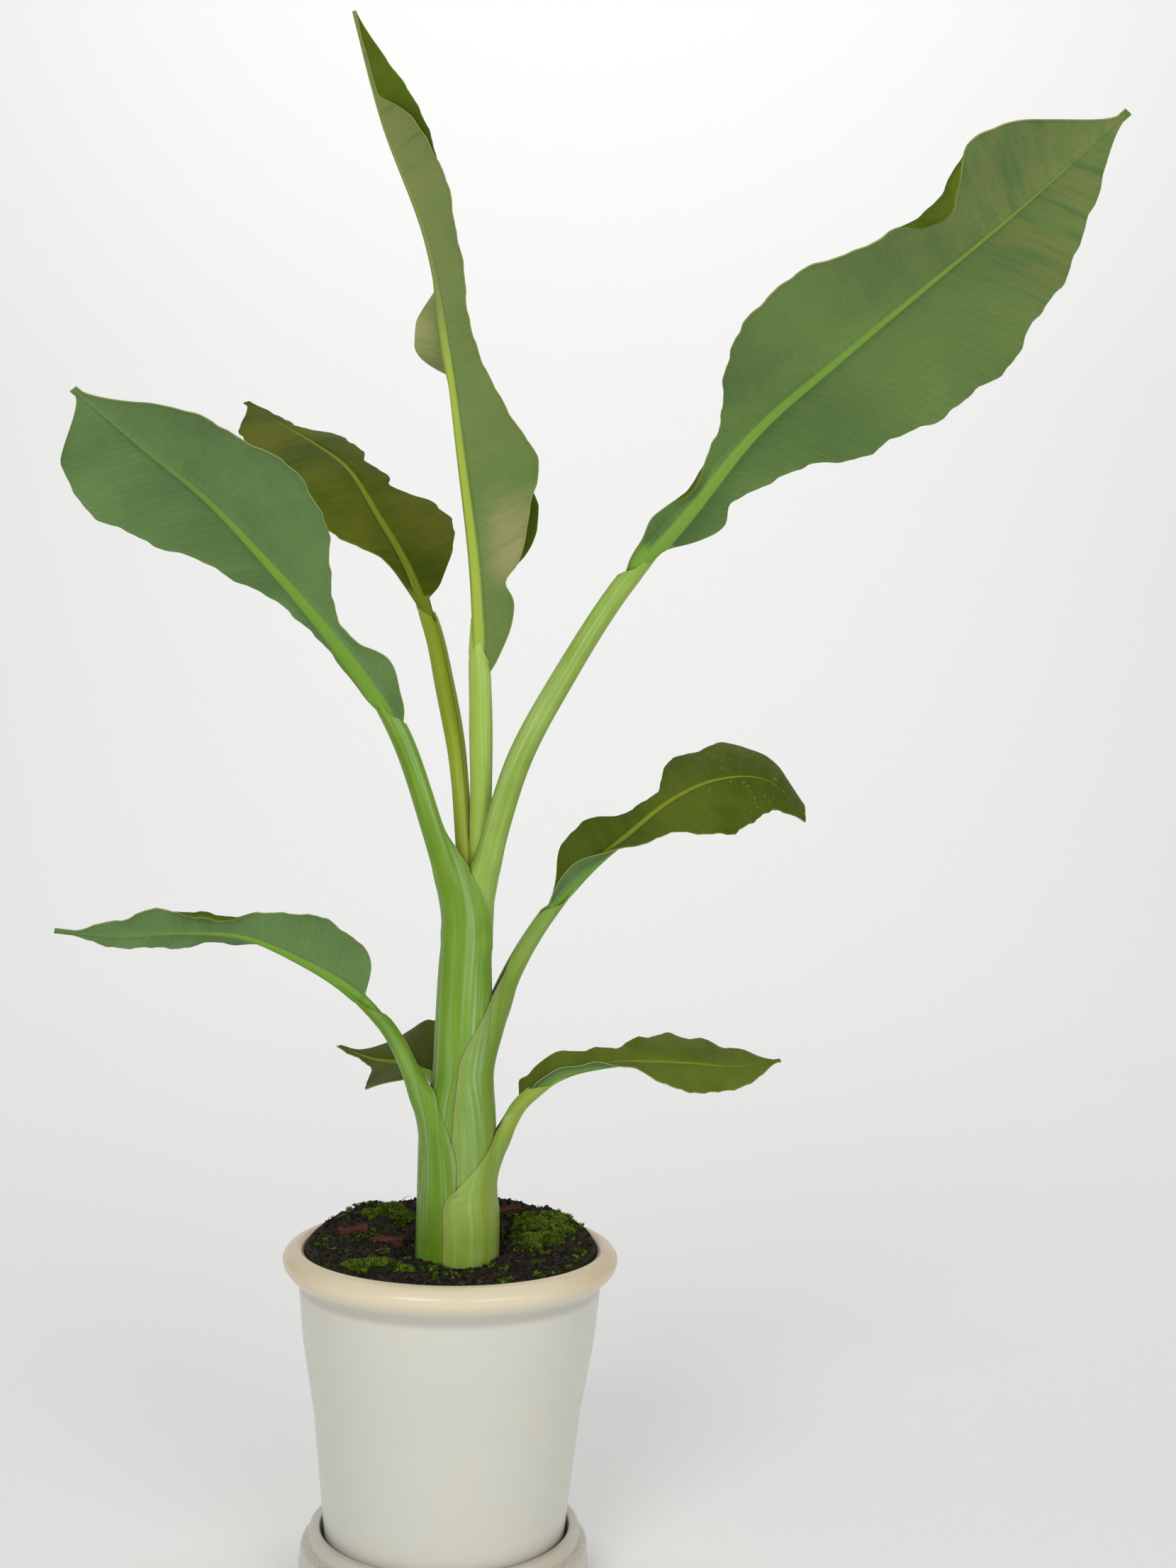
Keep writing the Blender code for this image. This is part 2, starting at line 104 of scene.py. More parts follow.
# moss: place, half sizes and height of each pad, tufts to the square metre by shade, height of a tuft;
# thin moss: tufts to the square metre, height and its spread, by shade
MOSS_SHADES = (("bright", (116, 140, 30)), ("mid", (76, 100, 18)), ("deep", (38, 54, 14)))
MOSS_PADS = (
    ("moss_right", 0.0610, 0.0300, (0.0190, 0.0300), 0.0065, (290000, 340000, 290000), 0.0043),
    ("moss_left", -0.0500, 0.0520, (0.0180, 0.0160), 0.0055, (520000, 620000, 520000), 0.0036),
    ("moss_front", -0.0450, -0.0520, (0.0200, 0.0120), 0.0045, (520000, 620000, 520000), 0.0036),
)
THIN_MOSS = ((40000, 0.0022, 0.0009), (90000, 0.0024, 0.0010), (130000, 0.0022, 0.0009))
TUFT_SPREAD = 0.0012
LEAFLETS = 8
LEAFLET_TURN = 2.39996

# bark chips: place, size, turn and tilt
BARK_CHIPS = (
    ("bark_left", -0.0680, 0.0200, (0.0200, 0.0120, 0.0060), 0.3, 0.1),
    ("bark_inner", -0.0420, 0.0100, (0.0200, 0.0090, 0.0050), -0.2, 0.0),
    ("bark_back", 0.0330, 0.0600, (0.0180, 0.0100, 0.0060), 0.5, 0.1),
)

# stem: height, half width and sideways lean of each ring, from the seat to the top
STEM_RINGS = (
    (SEAT_Z + GAP, 0.0190, 0.0035),
    (0.2085, 0.0232, 0.0035),
    (0.2140, 0.0265, 0.0035),
    (0.2220, 0.0281, 0.0035),
    (0.2550, 0.0276, 0.0032),
    (0.2900, 0.0262, 0.0028),
    (0.3100, 0.0238, 0.0036),
    (0.3300, 0.0208, 0.0050),
    (0.3600, 0.0197, 0.0050),
    (0.4300, 0.0168, 0.0050),
    (0.4780, 0.0148, 0.0075),
    (0.5190, 0.0134, 0.0085),
)
STEM_FOOT_Z = STEM_RINGS[0][0]
STEM_TOP_Z = STEM_RINGS[-1][0]
FOOT_Z = 0.2320
CORE_ROWS = 60
CORE_TURNS = 36

# sheaths and stalks: LAYER is the step from one sheath to the next, SHEATH_MARGIN the columns near the edge
LAYER = 0.0008
LAID_GAP = 0.0001
SHEATH_THICK = 0.0007
SHEATH_EDGE = 0.0005
SHEATH_SWELL = 0.0030
SHEATH_MARGIN = (0.0, 0.0004, 0.0009, 0.0016, 0.0028)
SHEATH_STEPS = 12
SHEATH_ROWS = 59
WRAP_LIMIT = 0.030
STALK_EDGE = 0.0012
STALK_END_SPAN = math.radians(50)
STALK_WALL = 0.66
STALK_END_WALL = 0.3
STALK_DEPTH = 0.9
STALK_ROWS = 44
STALK_TAIL = 0.042
TAIL_TAPER = 0.45
TAIL_ROWS = 7

# blades
BLADE_LEAD = 0.008
BLADE_GROWN = 0.034
BLADE_ROWS = 150
BLADE_COLUMNS = 12
BLADE_THICK = 0.0008
BLADE_ARCH = 0.04
MARGIN_STRIP = 0.0009
RIB_STEPS = (0.0, 0.3, 0.55, 0.75, 0.9, 1.0)
RIB_BULGE = 0.85
RIB_CHANNEL = 0.42
FLAP_STEPS = 4
PLEAT = 0.00011
PLEAT_PITCH = 0.0062
VEIN_SLANT = 0.35
FOOT_RISE = 0.35
FOOT_SHARE = 0.45
LEAST_HALF = 0.0022
TIP_HALF = 0.0006

# Leaves, in millimetres and degrees.
# bearing: where the leaf points. points: its rib from the stem outward, stalk_points of them in the stalk.
# stalk_half, left, right: half widths of the stalk and of the blade's halves. lift: how far a half is raised.
# shoulder: where along the blade a half starts to swell, and over what share. bumps, turns: place, size and
# spread of a swelling or a twist. flaps: place, spread, length and angle of a folded margin.
# scallop, wave: size, beats and phase of the margin's unevenness in and out of the blade's plane.
# spike: share of the blade that is a thin tip. rib_fall: how fast the rib thins.
# layer: place among the sheaths, 0 is outermost. parting: heights between which the stalk leaves the stem.
# margins, lag: the same for the sheath's two edges. reach: how far it goes round the stem on each side.
# span: half the angle that the stalk's wall covers. root: its foot, where that isn't under its first point.
MM = 1000.0
STALK_FOOT = (STEM_TOP_Z + GAP) * MM
LEAF_DEFAULTS = dict(
    shoulder_left=(0.01, 0.07), shoulder_right=(0.01, 0.07), bumps_left=(), bumps_right=(),
    turns_left=(), turns_right=(), flaps_left=(), flaps_right=(),
    scallop=(0.6, 7.0, 0.0), wave=(1.2, 7.0, 0.0),
    spike=0.0, rib_fall=1.3, lag=(0, 0), reach=(120, 120), span=160, stalk="plain", under="grey_green",
)
LEAVES = {
    "back_low": dict(
        bearing=135.0,
        points=(
            (-2, 14, 285), (-5, 20, 310), (-18, 36, 323), (-40, 62, 327), (-66, 92, 325), (-94, 126, 328),
        ),
        stalk_points=3, stalk_half=(7.0, 6.0, 5.5),
        left=(14, 38, 31, 12, 5, 4, 2),
        right=(14, 35, 38, 33, 17, 5, 2),
        lift_left=(-10, -25, -30, -10), lift_right=(40, 45, 30, 10),
        shoulder_right=(0.01, 0.09), scallop=(0.25, 5.0, 0.0), wave=(0.6, 3.0, 0.0),
        layer=2, parting=(288, 322), margins=(292, 330), reach=(70, 70), upper="olive_dark",
    ),
    "low_left": dict(
        bearing=203.0,
        points=(
            (2, -2, 250), (-14, -7, 294), (-29, -14, 335), (-45, -21, 365), (-70, -32, 390),
            (-100, -45, 409), (-132, -58, 423), (-167, -73, 426), (-202, -88, 424), (-237, -103, 428),
        ),
        stalk_points=4, stalk_half=(11.5, 7.8, 5.7),
        left=(6, 14, 28, 32, 30, 18, 13, 16, 18, 12, 2),
        right=(6, 14, 26, 30, 28, 18, 12, 14, 10, 8, 2),
        lift_left=(70, 65, 60, 50), lift_right=(10, 5, -50, -60),
        shoulder_left=(0.105, 0.07), shoulder_right=(0.10, 0.10),
        flaps_left=((0.60, 0.075, 7, -150),), spike=0.05, rib_fall=2.2,
        layer=1, parting=(245, 335), margins=(267, 343), reach=(68, 120), upper="dark_green",
    ),
    "low_right": dict(
        bearing=15.0,
        points=(
            (8, -4, 245), (25, 3, 275), (36, 8, 298), (46, 10, 313), (70, 17, 330),
            (99, 25, 336), (129, 33, 337), (160, 41, 335), (190, 49, 332), (220, 57, 336),
        ),
        stalk_points=4, stalk_half=(11.0, 7.0, 5.5),
        left=(6, 16, 18, 15, 16, 26, 34, 36, 33, 22, 2),
        right=(6, 9, 10, 11, 13, 20, 25, 24, 20, 13, 2),
        lift_left=(40, 35, 32, 28, 22, 20, 20), lift_right=(50, 30, 5, -30, -45, -42, -30),
        shoulder_left=(-0.02, 0.03), shoulder_right=(0.03, 0.06), bumps_left=((0.03, 6, 0.025),), spike=0.02,
        layer=0, parting=(238, 300), margins=(234, 326), lag=(-22, -6), reach=(115, 120), span=178,
        # painted light: this sheath takes the pale stalk skin so that it looks as brightly lit as the lower
        # right of the stem
        stalk="pale", upper="olive_green",
    ),
    "mid_right": dict(
        bearing=30.0,
        points=(
            (8, -2, 320), (21, 6, 352), (33, 14, 392), (54, 27, 430), (80, 42, 462),
            (109, 59, 488), (141, 78, 514), (175, 98, 529), (212, 119, 529), (242, 136, 505),
        ),
        stalk_points=4, stalk_half=(10.5, 8.0, 6.2),
        left=(6, 10, 28, 33, 16, 13, 34, 38, 42, 32, 12),
        right=(6, 16, 20, 18, 20, 32, 43, 40, 31, 22, 10),
        lift_left=(40, 30, 30, 45), lift_right=(60, 45, -20, -52, -58, -58, -50),
        shoulder_left=(0.06, 0.07), shoulder_right=(0.02, 0.12), scallop=(0.5, 9.0, 2.0),
        layer=3, parting=(300, 395), margins=(318, 410), lag=(-30, 10), reach=(120, 126), span=178,
        stalk="soft", upper="olive_deep",
    ),
    "upper_left": dict(
        bearing=222.0,
        points=(
            (5, -3, 400), (-1, -10, 436), (-17, -24, 492), (-37, -42, 551), (-60, -63, 589),
            (-86, -87, 623), (-114, -112, 655), (-143, -139, 685), (-175, -167, 710), (-207, -195, 736),
        ),
        stalk_points=4, stalk_half=(9.8, 8.0, 7.3),
        left=(7, 14, 22, 12, 13, 32, 50, 60, 64, 54, 50, 27, 3),
        right=(7, 9, 10, 10, 12, 18, 28, 40, 52, 60, 59, 46, 3),
        lift_left=(30, 25, 20, 20), lift_right=(-20, -25, -30, -30),
        shoulder_left=(0.02, 0.06), shoulder_right=(0.07, 0.06), scallop=(0.9, 6.0, 1.0), spike=0.015,
        layer=4, parting=(400, 475), margins=(385, 510), upper="dark_green",
    ),
    "back_left": dict(
        bearing=130.0,
        points=(
            (-1.5, 3, STALK_FOOT), (-6, 12, 548), (-15, 26, 586), (-26, 40, 627), (-46, 65, 672),
            (-71, 94, 711), (-97, 126, 748), (-129, 163, 773), (-161, 202, 794), (-194, 241, 817),
        ),
        stalk_points=4, stalk_half=(6.0, 7.0, 6.4),
        left=(7, 9, 16, 37, 44, 48, 46, 42, 36, 26, 3),
        right=(7, 16, 38, 52, 30, 23, 24, 26, 8, 8, 3),
        lift_left=(-10, -25, -30, -30), lift_right=(15, 15, 15, 15),
        shoulder_left=(0.05, 0.10), shoulder_right=(0.075, 0.05),
        bumps_right=((0.36, 7, 0.022), (0.42, -5, 0.022), (0.52, -4, 0.03)),
        scallop=(0.9, 8.0, 2.0), wave=(0.6, 5.0, 0.0), spike=0.02,
        layer=6, parting=(395, 435), margins=(395, 435), span=178, root=(6, -4, 440),
        stalk="olive", upper="olive_brown",
    ),
    "top": dict(
        bearing=240.0,
        points=(
            (12.5, -3, STALK_FOOT), (11.5, -3, 553), (10, -4, 590), (5, -11, 661), (-4, -26, 729),
            (-14, -42, 798), (-27, -62, 862), (-52, -90, 923), (-66, -133, 973),
        ),
        stalk_points=3, stalk_half=(7.4, 8.0, 7.6),
        left=(8, 24, 31, 43, 52, 34, 21, 19, 22, 26, 21, 3, 2),
        right=(8, 14, 32, 46, 34, 22, 20, 16, 16, 22, 25, 14, 2),
        lift_left=(10, 10, 10, 10), lift_right=(120, 145, 150, 148, 145, 145, 145, 145, 120),
        shoulder_left=(0.0, 0.04), shoulder_right=(0.02, 0.10),
        bumps_left=((0.89, -11, 0.022), (0.15, -8, 0.02)),
        bumps_right=((0.145, -14, 0.03), (0.53, 2, 0.05)), turns_right=((0.53, -160, 0.085),),
        scallop=(0.5, 10.0, 0.4),
        layer=7, parting=(395, 435), margins=(395, 435), span=168,
        stalk="light", upper="dark_green", under="tan_green",
    ),
    "upper_right": dict(
        bearing=-38.0,
        points=(
            (12, -3, 440), (20, -9, 479), (38, -23, 539), (67, -45, 594), (100, -70, 646), (138, -100, 690),
            (176, -129, 736), (219, -164, 771), (264, -198, 806), (308, -233, 840), (351, -267, 877),
        ),
        stalk_points=5, stalk_half=(9.2, 8.6, 7.3),
        left=(8, 8, 27, 26, 42, 60, 68, 74, 73, 60, 46, 24, 3),
        right=(8, 11, 13, 13, 30, 61, 82, 84, 68, 53, 68, 64, 3),
        lift_left=(-20, -35, -35, -35), lift_right=(20, 10, 5, 5),
        shoulder_left=(0.085, 0.05), shoulder_right=(0.03, 0.06),
        bumps_left=((0.21, -6, 0.02),), bumps_right=((0.13, 5, 0.03),),
        flaps_right=((0.775, 0.050, 16, -165), (0.21, 0.03, 4, -150)), scallop=(1.2, 8.0, 0.0), spike=0.014,
        layer=5, parting=(405, 490), margins=(390, 475),
        stalk="pale", upper="dark_green", under="broad_green",
    ),
}
for name, leaf in LEAVES.items():
    LEAVES[name] = {**LEAF_DEFAULTS, **leaf}
    for key in ("points", "stalk_half", "left", "right", "parting", "margins", "lag", "root"):
        if key in LEAVES[name]:
            LEAVES[name][key] = np.array(LEAVES[name][key]) / MM


# helpers for shapes


def smooth(values, where):
    """Value of a smooth curve through evenly spaced values, where is 0 to 1."""
    values = np.asarray(values, float)
    if values.ndim == 1:
        values = values[:, None]
    last = len(values) - 1
    u = np.clip(np.asarray(where, float), 0, 1) * last
    i = np.clip(np.floor(u).astype(int), 0, last - 1)
    f = (u - i)[:, None]
    a = values[np.clip(i - 1, 0, last)]
    b = values[i]
    c = values[i + 1]
    d = values[np.clip(i + 2, 0, last)]
    return b + 0.5 * f * (c - a + f * (2 * a - 5 * b + 4 * c - d + f * (3 * (b - c) + d - a)))


def run_along(line):
    """Distance along a line of points, from its start."""
    return np.concatenate([[0], np.cumsum(np.linalg.norm(np.diff(line, axis=0), axis=1))])


def rib_line(points, start, end, count):
    """Evenly spaced points from one numbered rib point to another, the directions there, and the length."""
    dense = np.linspace(0, 1, 40 * len(points))
    line = smooth(points, dense)
    length = run_along(line)
    last = len(points) - 1
    reach = np.linspace(np.interp(start / last, dense, length), np.interp(end / last, dense, length), count)
    place = np.stack([np.interp(reach, length, line[:, k]) for k in range(3)], axis=1)
    slope = np.gradient(line, axis=0)
    heading = np.stack([np.interp(reach, length, slope[:, k]) for k in range(3)], axis=1)
    return place, unit(heading), reach[-1] - reach[0]


def unit(vectors):
    return vectors / np.linalg.norm(vectors, axis=-1, keepdims=True)


def compass(turn):
    """Level directions at an angle: outward, and to the left of that."""
    out = np.array([math.cos(turn), math.sin(turn), 0.0])
    return out, np.array([-math.sin(turn), math.cos(turn), 0.0])


def frames(heading, bearing):
    """Left-hand and upper directions of a leaf along its rib."""
    upper = unit(np.cross(heading, compass(math.radians(bearing))[1]))
    return np.cross(upper, heading), upper


def ease(value, low, high):
    """Smooth rise from 0 at low to 1 at high."""
    t = np.clip((np.asarray(value, float) - low) / (high - low), 0, 1)
    return t * t * (3 - 2 * t)


def bell(value, middle, spread):
    return np.exp(-(((np.asarray(value, float) - middle) / spread) ** 2))


def mix(a, b, share):
    return a + (b - a) * share


def noise_field(x, y, scale, shift):
    return np.array([noise.noise((a * scale + shift, b * scale, shift)) for a, b in zip(x, y)])


@contextmanager
def edited(mesh):
    """A mesh opened for edits, which are written back at the end."""
    bm = bmesh.new()
    bm.from_mesh(mesh)
    yield bm
    bm.to_mesh(mesh)
    bm.free()


def new_mesh(name, verts, faces, edges=()):
    mesh = bpy.data.meshes.new(name)
    mesh.from_pydata(verts, edges, faces)
    mesh.update()
    return mesh


def add_object(name, mesh):
    obj = bpy.data.objects.new(name, mesh)
    bpy.context.scene.collection.objects.link(obj)
    return obj


def outward(mesh):
    """Turn the faces of a closed mesh outward."""
    with edited(mesh) as bm:
        if bm.calc_volume(signed=True) < 0:
            bmesh.ops.reverse_faces(bm, faces=bm.faces)
    mesh.update()


def ring_body(name, rings):
    """Closed body through rings of equal point count."""
    rows, count = rings.shape[0], rings.shape[1]
    faces = [tuple(range(count - 1, -1, -1))]
    for k in range(rows - 1):
        for j in range(count):
            n = (j + 1) % count
            faces.append((k * count + j, k * count + n, (k + 1) * count + n, (k + 1) * count + j))
    faces.append(tuple((rows - 1) * count + j for j in range(count)))
    return new_mesh(name, rings.reshape(-1, 3).tolist(), faces)


def point_values(mesh, **values):
    for name, data in values.items():
        layer = mesh.attributes.new(name, "FLOAT", "POINT")
        layer.data.foreach_set("value", np.asarray(data, np.float32).ravel())


def lay_uv(mesh, across, along):
    """Map of the surface in metres, across and along."""
    layer = mesh.uv_layers.new(name="UVMap")
    index = np.zeros(len(mesh.loops), np.int32)
    mesh.loops.foreach_get("vertex_index", index)
    pairs = np.stack([np.asarray(across).ravel()[index], np.asarray(along).ravel()[index]], axis=1)
    layer.data.foreach_set("uv", pairs.astype(np.float32).ravel())


def both_skins(values):
    """Values of one skin's rows, and the same again for the other skin, which runs back."""
    return np.concatenate([values, np.array(values)[:, ::-1]], axis=1)


def shade_smooth(obj):
    obj.data.polygons.foreach_set("use_smooth", np.ones(len(obj.data.polygons), bool))
    obj.data.update()


def smooth_body(name, mesh, *materials):
    """Object with smooth faces from a closed mesh."""
    outward(mesh)
    obj = add_object(name, mesh)
    shade_smooth(obj)
    for material in materials:
        mesh.materials.append(material)
    return obj


def applied(obj):
    """The object with its modifiers worked into its mesh."""
    graph = bpy.context.evaluated_depsgraph_get()
    mesh = bpy.data.meshes.new_from_object(obj.evaluated_get(graph))
    obj.modifiers.clear()
    obj.data = mesh
    return obj


def join(name, objs):
    """One object from several, with their materials."""
    mesh = bpy.data.meshes.new(name)
    materials = []
    with edited(mesh) as bm:
        for obj in objs:
            start = len(bm.faces)
            bm.from_mesh(obj.data)
            bm.faces.ensure_lookup_table()
            for face in bm.faces[start:]:
                face.material_index += len(materials)
            materials += list(obj.data.materials)
    for material in materials:
        mesh.materials.append(material)
    for obj in objs:
        bpy.data.objects.remove(obj, do_unlink=True)
    return add_object(name, mesh)


def settle(obj, slot, *nodes):
    """Attach a finished piece to the root body and hide the imported nodes it stands for; slot is not used.
    """
    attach(obj, "root")
    if nodes:
        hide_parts(*nodes)


# helpers for materials


def add_node(tree, kind, settings=(), inputs=()):
    """New node with its settings and its inputs, which are values or sockets to link from."""
    made = tree.nodes.new(kind)
    for key, value in dict(settings).items():
        setattr(made, key, value)
    for key, value in dict(inputs).items():
        if isinstance(value, bpy.types.NodeSocket):
            tree.links.new(value, made.inputs[key])
        else:
            made.inputs[key].default_value = value
    return made.outputs


def rgba(value):
    return value if isinstance(value, bpy.types.NodeSocket) or len(value) == 4 else (*value, 1.0)


def tone(red, green, blue):
    """Linear colour of a screen colour given in steps of 255."""
    steps = (red, green, blue)
    return tuple((c / 255 / 12.92) if c <= 10 else ((c / 255 + 0.055) / 1.055) ** 2.4 for c in steps)


def dim(colour, share):
    return tuple(c * share for c in colour)


class Finish:
    """A material with its shader, the colour of its body so far, and short ways to add nodes to it."""

    def __init__(self, name, body=None, **settings):
        self.material = bpy.data.materials.new(name)
        self.material.use_nodes = True
        self.tree = self.material.node_tree
        self.shader = self.tree.nodes["Principled BSDF"]
        self.body = body
        for key, value in settings.items():
            self.shader.inputs[key.replace("_", " ")].default_value = value

    def node(self, kind, settings=(), **inputs):
        named = {key.replace("_", " "): value for key, value in inputs.items()}
        return add_node(self.tree, kind, settings, named)

    def place(self, *scale):
        """Coordinates of the piece, stretched."""
        out = self.node("ShaderNodeTexCoord")["Object"]
        return self.node("ShaderNodeMapping", Vector=out, Scale=scale or (1, 1, 1))["Vector"]

    def flat(self, across=1, along=1):
        """Coordinates on the surface, stretched."""
        out = self.node("ShaderNodeUVMap", {"uv_map": "UVMap"})["UV"]
        return self.node("ShaderNodeMapping", Vector=out, Scale=(across, along, 1))["Vector"]

    def axis(self, vector, letter):
        return self.node("ShaderNodeSeparateXYZ", Vector=vector)[letter]

    def noise(self, vector, scale=1.0, detail=4.0, rough=0.55):
        made = self.node("ShaderNodeTexNoise", Vector=vector, Scale=scale, Detail=detail, Roughness=rough)
        return made["Fac"]

    def value(self, name):
        return self.node("ShaderNodeAttribute", {"attribute_name": name, "attribute_type": "GEOMETRY"})["Fac"]

    def maths(self, operation, a, b=0.0):
        return add_node(self.tree, "ShaderNodeMath", {"operation": operation}, {0: a, 1: b})[0]

    def times(self, first, *others):
        for other in others:
            first = self.maths("MULTIPLY", first, other)
        return first

    def spread(self, value, low, high, to_low=0.0, to_high=1.0):
        """Smooth step of a value."""
        ends = {"From_Min": low, "From_Max": high, "To_Min": to_low, "To_Max": to_high}
        kind = {"interpolation_type": "SMOOTHSTEP"}
        return self.node("ShaderNodeMapRange", kind, Value=value, **ends)["Result"]

    def cover(self, colour, share):
        """Lay a colour over the body by a share."""
        settings = {"data_type": "RGBA", "clamp_factor": True}
        inputs = {0: share, 6: rgba(self.body), 7: rgba(colour)}
        self.body = add_node(self.tree, "ShaderNodeMix", settings, inputs)[2]

    def tint(self, colour, value, low, high, share=1.0):
        """Lay a colour over the body where a value rises from low to high."""
        self.cover(colour, self.spread(value, low, high, 0.0, share))

    def done(self, rough, height, depth, strength):
        """The material, with its roughness and relief."""
        bump = self.node("ShaderNodeBump", Height=height, Strength=strength, Distance=depth)["Normal"]
        for name, value in (("Base Color", self.body), ("Roughness", rough), ("Normal", bump)):
            self.tree.links.new(value, self.shader.inputs[name])
        return self.material


def plain(name, colour, roughness, shine=0.2):
    return Finish(name, Base_Color=rgba(colour), Roughness=roughness, Specular_IOR_Level=shine).material


# leaf and stalk skins: tan is the strength of dry stripes toward the tip, dry holds tan stretches of a margin
# (which half, and where along the blade they come and go), specks is the strength of pale spots
RIM_TONE = tone(140, 148, 84)
UPPER_LOOKS = {
    "dark_green": dict(tones=(tone(64, 84, 14), tone(84, 102, 26))),
    "olive_green": dict(tones=(tone(74, 90, 20), tone(96, 112, 38))),
    "olive_dark": dict(tones=(tone(56, 68, 18), tone(78, 88, 28))),
    "olive_deep": dict(tones=(tone(62, 82, 14), tone(86, 100, 30)), specks=0.8),
    "olive_brown": dict(tones=(tone(64, 82, 10), tone(98, 103, 22))),
}
UNDER_LOOKS = {
    "grey_green": dict(
        tones=(tone(86, 114, 64), tone(100, 130, 74)), rib=tone(110, 150, 50), rib_end=(0.45, 0.95),
    ),
    "broad_green": dict(
        tones=(tone(84, 113, 60), tone(104, 132, 66)), rib=tone(114, 152, 58), tan=0.65,
    ),
    "tan_green": dict(
        tones=(tone(98, 128, 64), tone(120, 137, 76)), rib=tone(156, 176, 66), rib_end=(0.45, 0.62), tan=0.85,
        dry=((1, 0.12, 0.18, 0.24, 0.31), (-1, 0.40, 0.47, 0.60, 0.68)),
    ),
}
STALK_LINES = ((142, 142, 92), (116, 84, 54))
STALK_TONES = {
    "plain": ("stalk_green", (92, 130, 12), (114, 152, 38), (100, 128, 14), (158, 192, 136), *STALK_LINES),
    "soft": ("stalk_soft", (108, 143, 40), (132, 163, 76), (116, 138, 30), (164, 192, 140), *STALK_LINES),
    "pale": ("stalk_pale", (124, 154, 46), (148, 178, 80), (136, 152, 40), (176, 200, 130), *STALK_LINES),
    "light": ("stalk_light", (150, 180, 66), (174, 200, 98), (156, 176, 62), (188, 210, 138), *STALK_LINES),
    "olive": (
        "stalk_olive", (128, 146, 14), (146, 162, 26), (142, 148, 20), (156, 172, 54),
        (132, 138, 30), (118, 112, 34),
    ),
}


def leaf_finish(
    name, tones, rib, shine, depth, rib_wide=0.4, rib_end=(0.7, 1.0), tan=0.0, dry=(), specks=0.0
):
    """Blade skin: side veins that sweep from the rib to the margin, a coloured rib and a pale rim."""
    low, high = tones
    skin = Finish(name, low, Specular_IOR_Level=shine)
    fine = skin.noise(skin.flat(200, 1500), detail=2.0)
    broad = skin.noise(skin.flat(18, 110))
    wave = dict(Vector=skin.flat(), Scale=62.0, Distortion=0.6, Detail=1.0, Detail_Scale=4.0)
    veins = skin.node("ShaderNodeTexWave", {"bands_direction": "Y"}, **wave)["Fac"]
    side = skin.axis(skin.flat(), "X")
    far = skin.value("far")
    skin.tint(high, skin.noise(skin.place(), 16.0, 3.0), 0.3, 0.7)
    skin.tint(tuple(0.7 * a + 0.3 * b for a, b in zip(high, rib)), broad, 0.45, 0.75, 0.30)
    if tan:
        skin.tint(tone(134, 138, 86), far, 0.3, 0.62, max(0.0, 2.4 * tan - 1.44))
        here = skin.times(skin.spread(far, 0.55, 0.92), skin.spread(side, -0.02, 0.02, 0.5, 1.0))
        skin.cover(tone(138, 132, 74), skin.times(here, skin.spread(broad, 0.40, 0.58), tan))
        skin.cover(dim(low, 0.75), skin.times(here, skin.spread(broad, 0.44, 0.34, 0.0, 0.6)))
        skin.tint(dim(low, 0.8), side, -0.003, 0.003, 0.36)
    for half, rise, full, fade, gone in dry:
        here = skin.times(skin.spread(far, rise, full), skin.spread(far, fade, gone, 1.0, 0.0))
        beside = skin.spread(skin.times(side, half), 0.0, 0.026)
        skin.cover(tone(168, 158, 108), skin.times(here, beside, skin.spread(broad, 0.25, 0.60, 0.30, 0.72)))
    if specks:
        dots = skin.noise(skin.place(), 420.0, 1.0)
        here = skin.times(skin.spread(dots, 0.68, 0.74), skin.spread(far, 0.55, 0.75, 0.0, specks))
        skin.cover(tone(150, 164, 92), here)
    skin.tint(dim(low, 0.70), fine, 0.4, 0.75, 0.25)
    skin.tint(high, veins, 0.72, 1.0, 0.12)
    rib_part = skin.spread(skin.value("rib"), rib_wide, rib_wide + 0.25)
    skin.cover(rib, skin.times(rib_part, skin.spread(far, *rib_end, 1.0, 0.12)))
    skin.tint(RIM_TONE, skin.value("rim"), 0.35, 0.9, 0.7)
    height = skin.maths("ADD", skin.times(veins, 0.5), skin.times(fine, 0.5))
    return skin.done(skin.spread(fine, 0.2, 0.8, 0.46, 0.60), height, depth, 0.6)


def stalk_finish(name, low, high, band, bloom, edge, line):
    """Sheath and stalk skin: long fibres, bands of tint, a waxy bloom and a thin dry margin."""
    skin = Finish(name, low, Specular_IOR_Level=0.30, Coat_Weight=0.12, Coat_Roughness=0.30)
    fibre = skin.noise(skin.flat(900, 14), detail=3.0)
    streak = skin.noise(skin.flat(520, 5), detail=2.0)
    bands = skin.noise(skin.flat(85, 4), detail=2.0)
    margin = skin.value("rim")
    skin.tint(high, skin.noise(skin.place(1, 1, 0.5), 26.0), 0.3, 0.7)
    skin.tint(band, bands, 0.50, 0.68, 0.85)
    skin.tint(dim(low, 0.66), fibre, 0.45, 0.8, 0.35)
    skin.cover(bloom, skin.times(skin.spread(streak, 0.40, 0.68), skin.spread(bands, 0.54, 0.38), 0.6))
    skin.tint(dim(low, 0.5), skin.noise(skin.place(), 900.0, 1.0), 0.70, 0.78, 0.35)
    skin.tint(edge, margin, 0.10, 0.75, 0.55)
    skin.tint(line, margin, 0.90, 0.98, 0.6)
    skin.tint(dim(high, 0.8), skin.value("hollow"), 0.4, 0.9, 0.6)
    height = skin.maths("ADD", fibre, skin.times(streak, 0.6))
    return skin.done(skin.spread(fibre, 0.2, 0.8, 0.38, 0.55), height, 0.00025, 0.6)


# pot and saucer


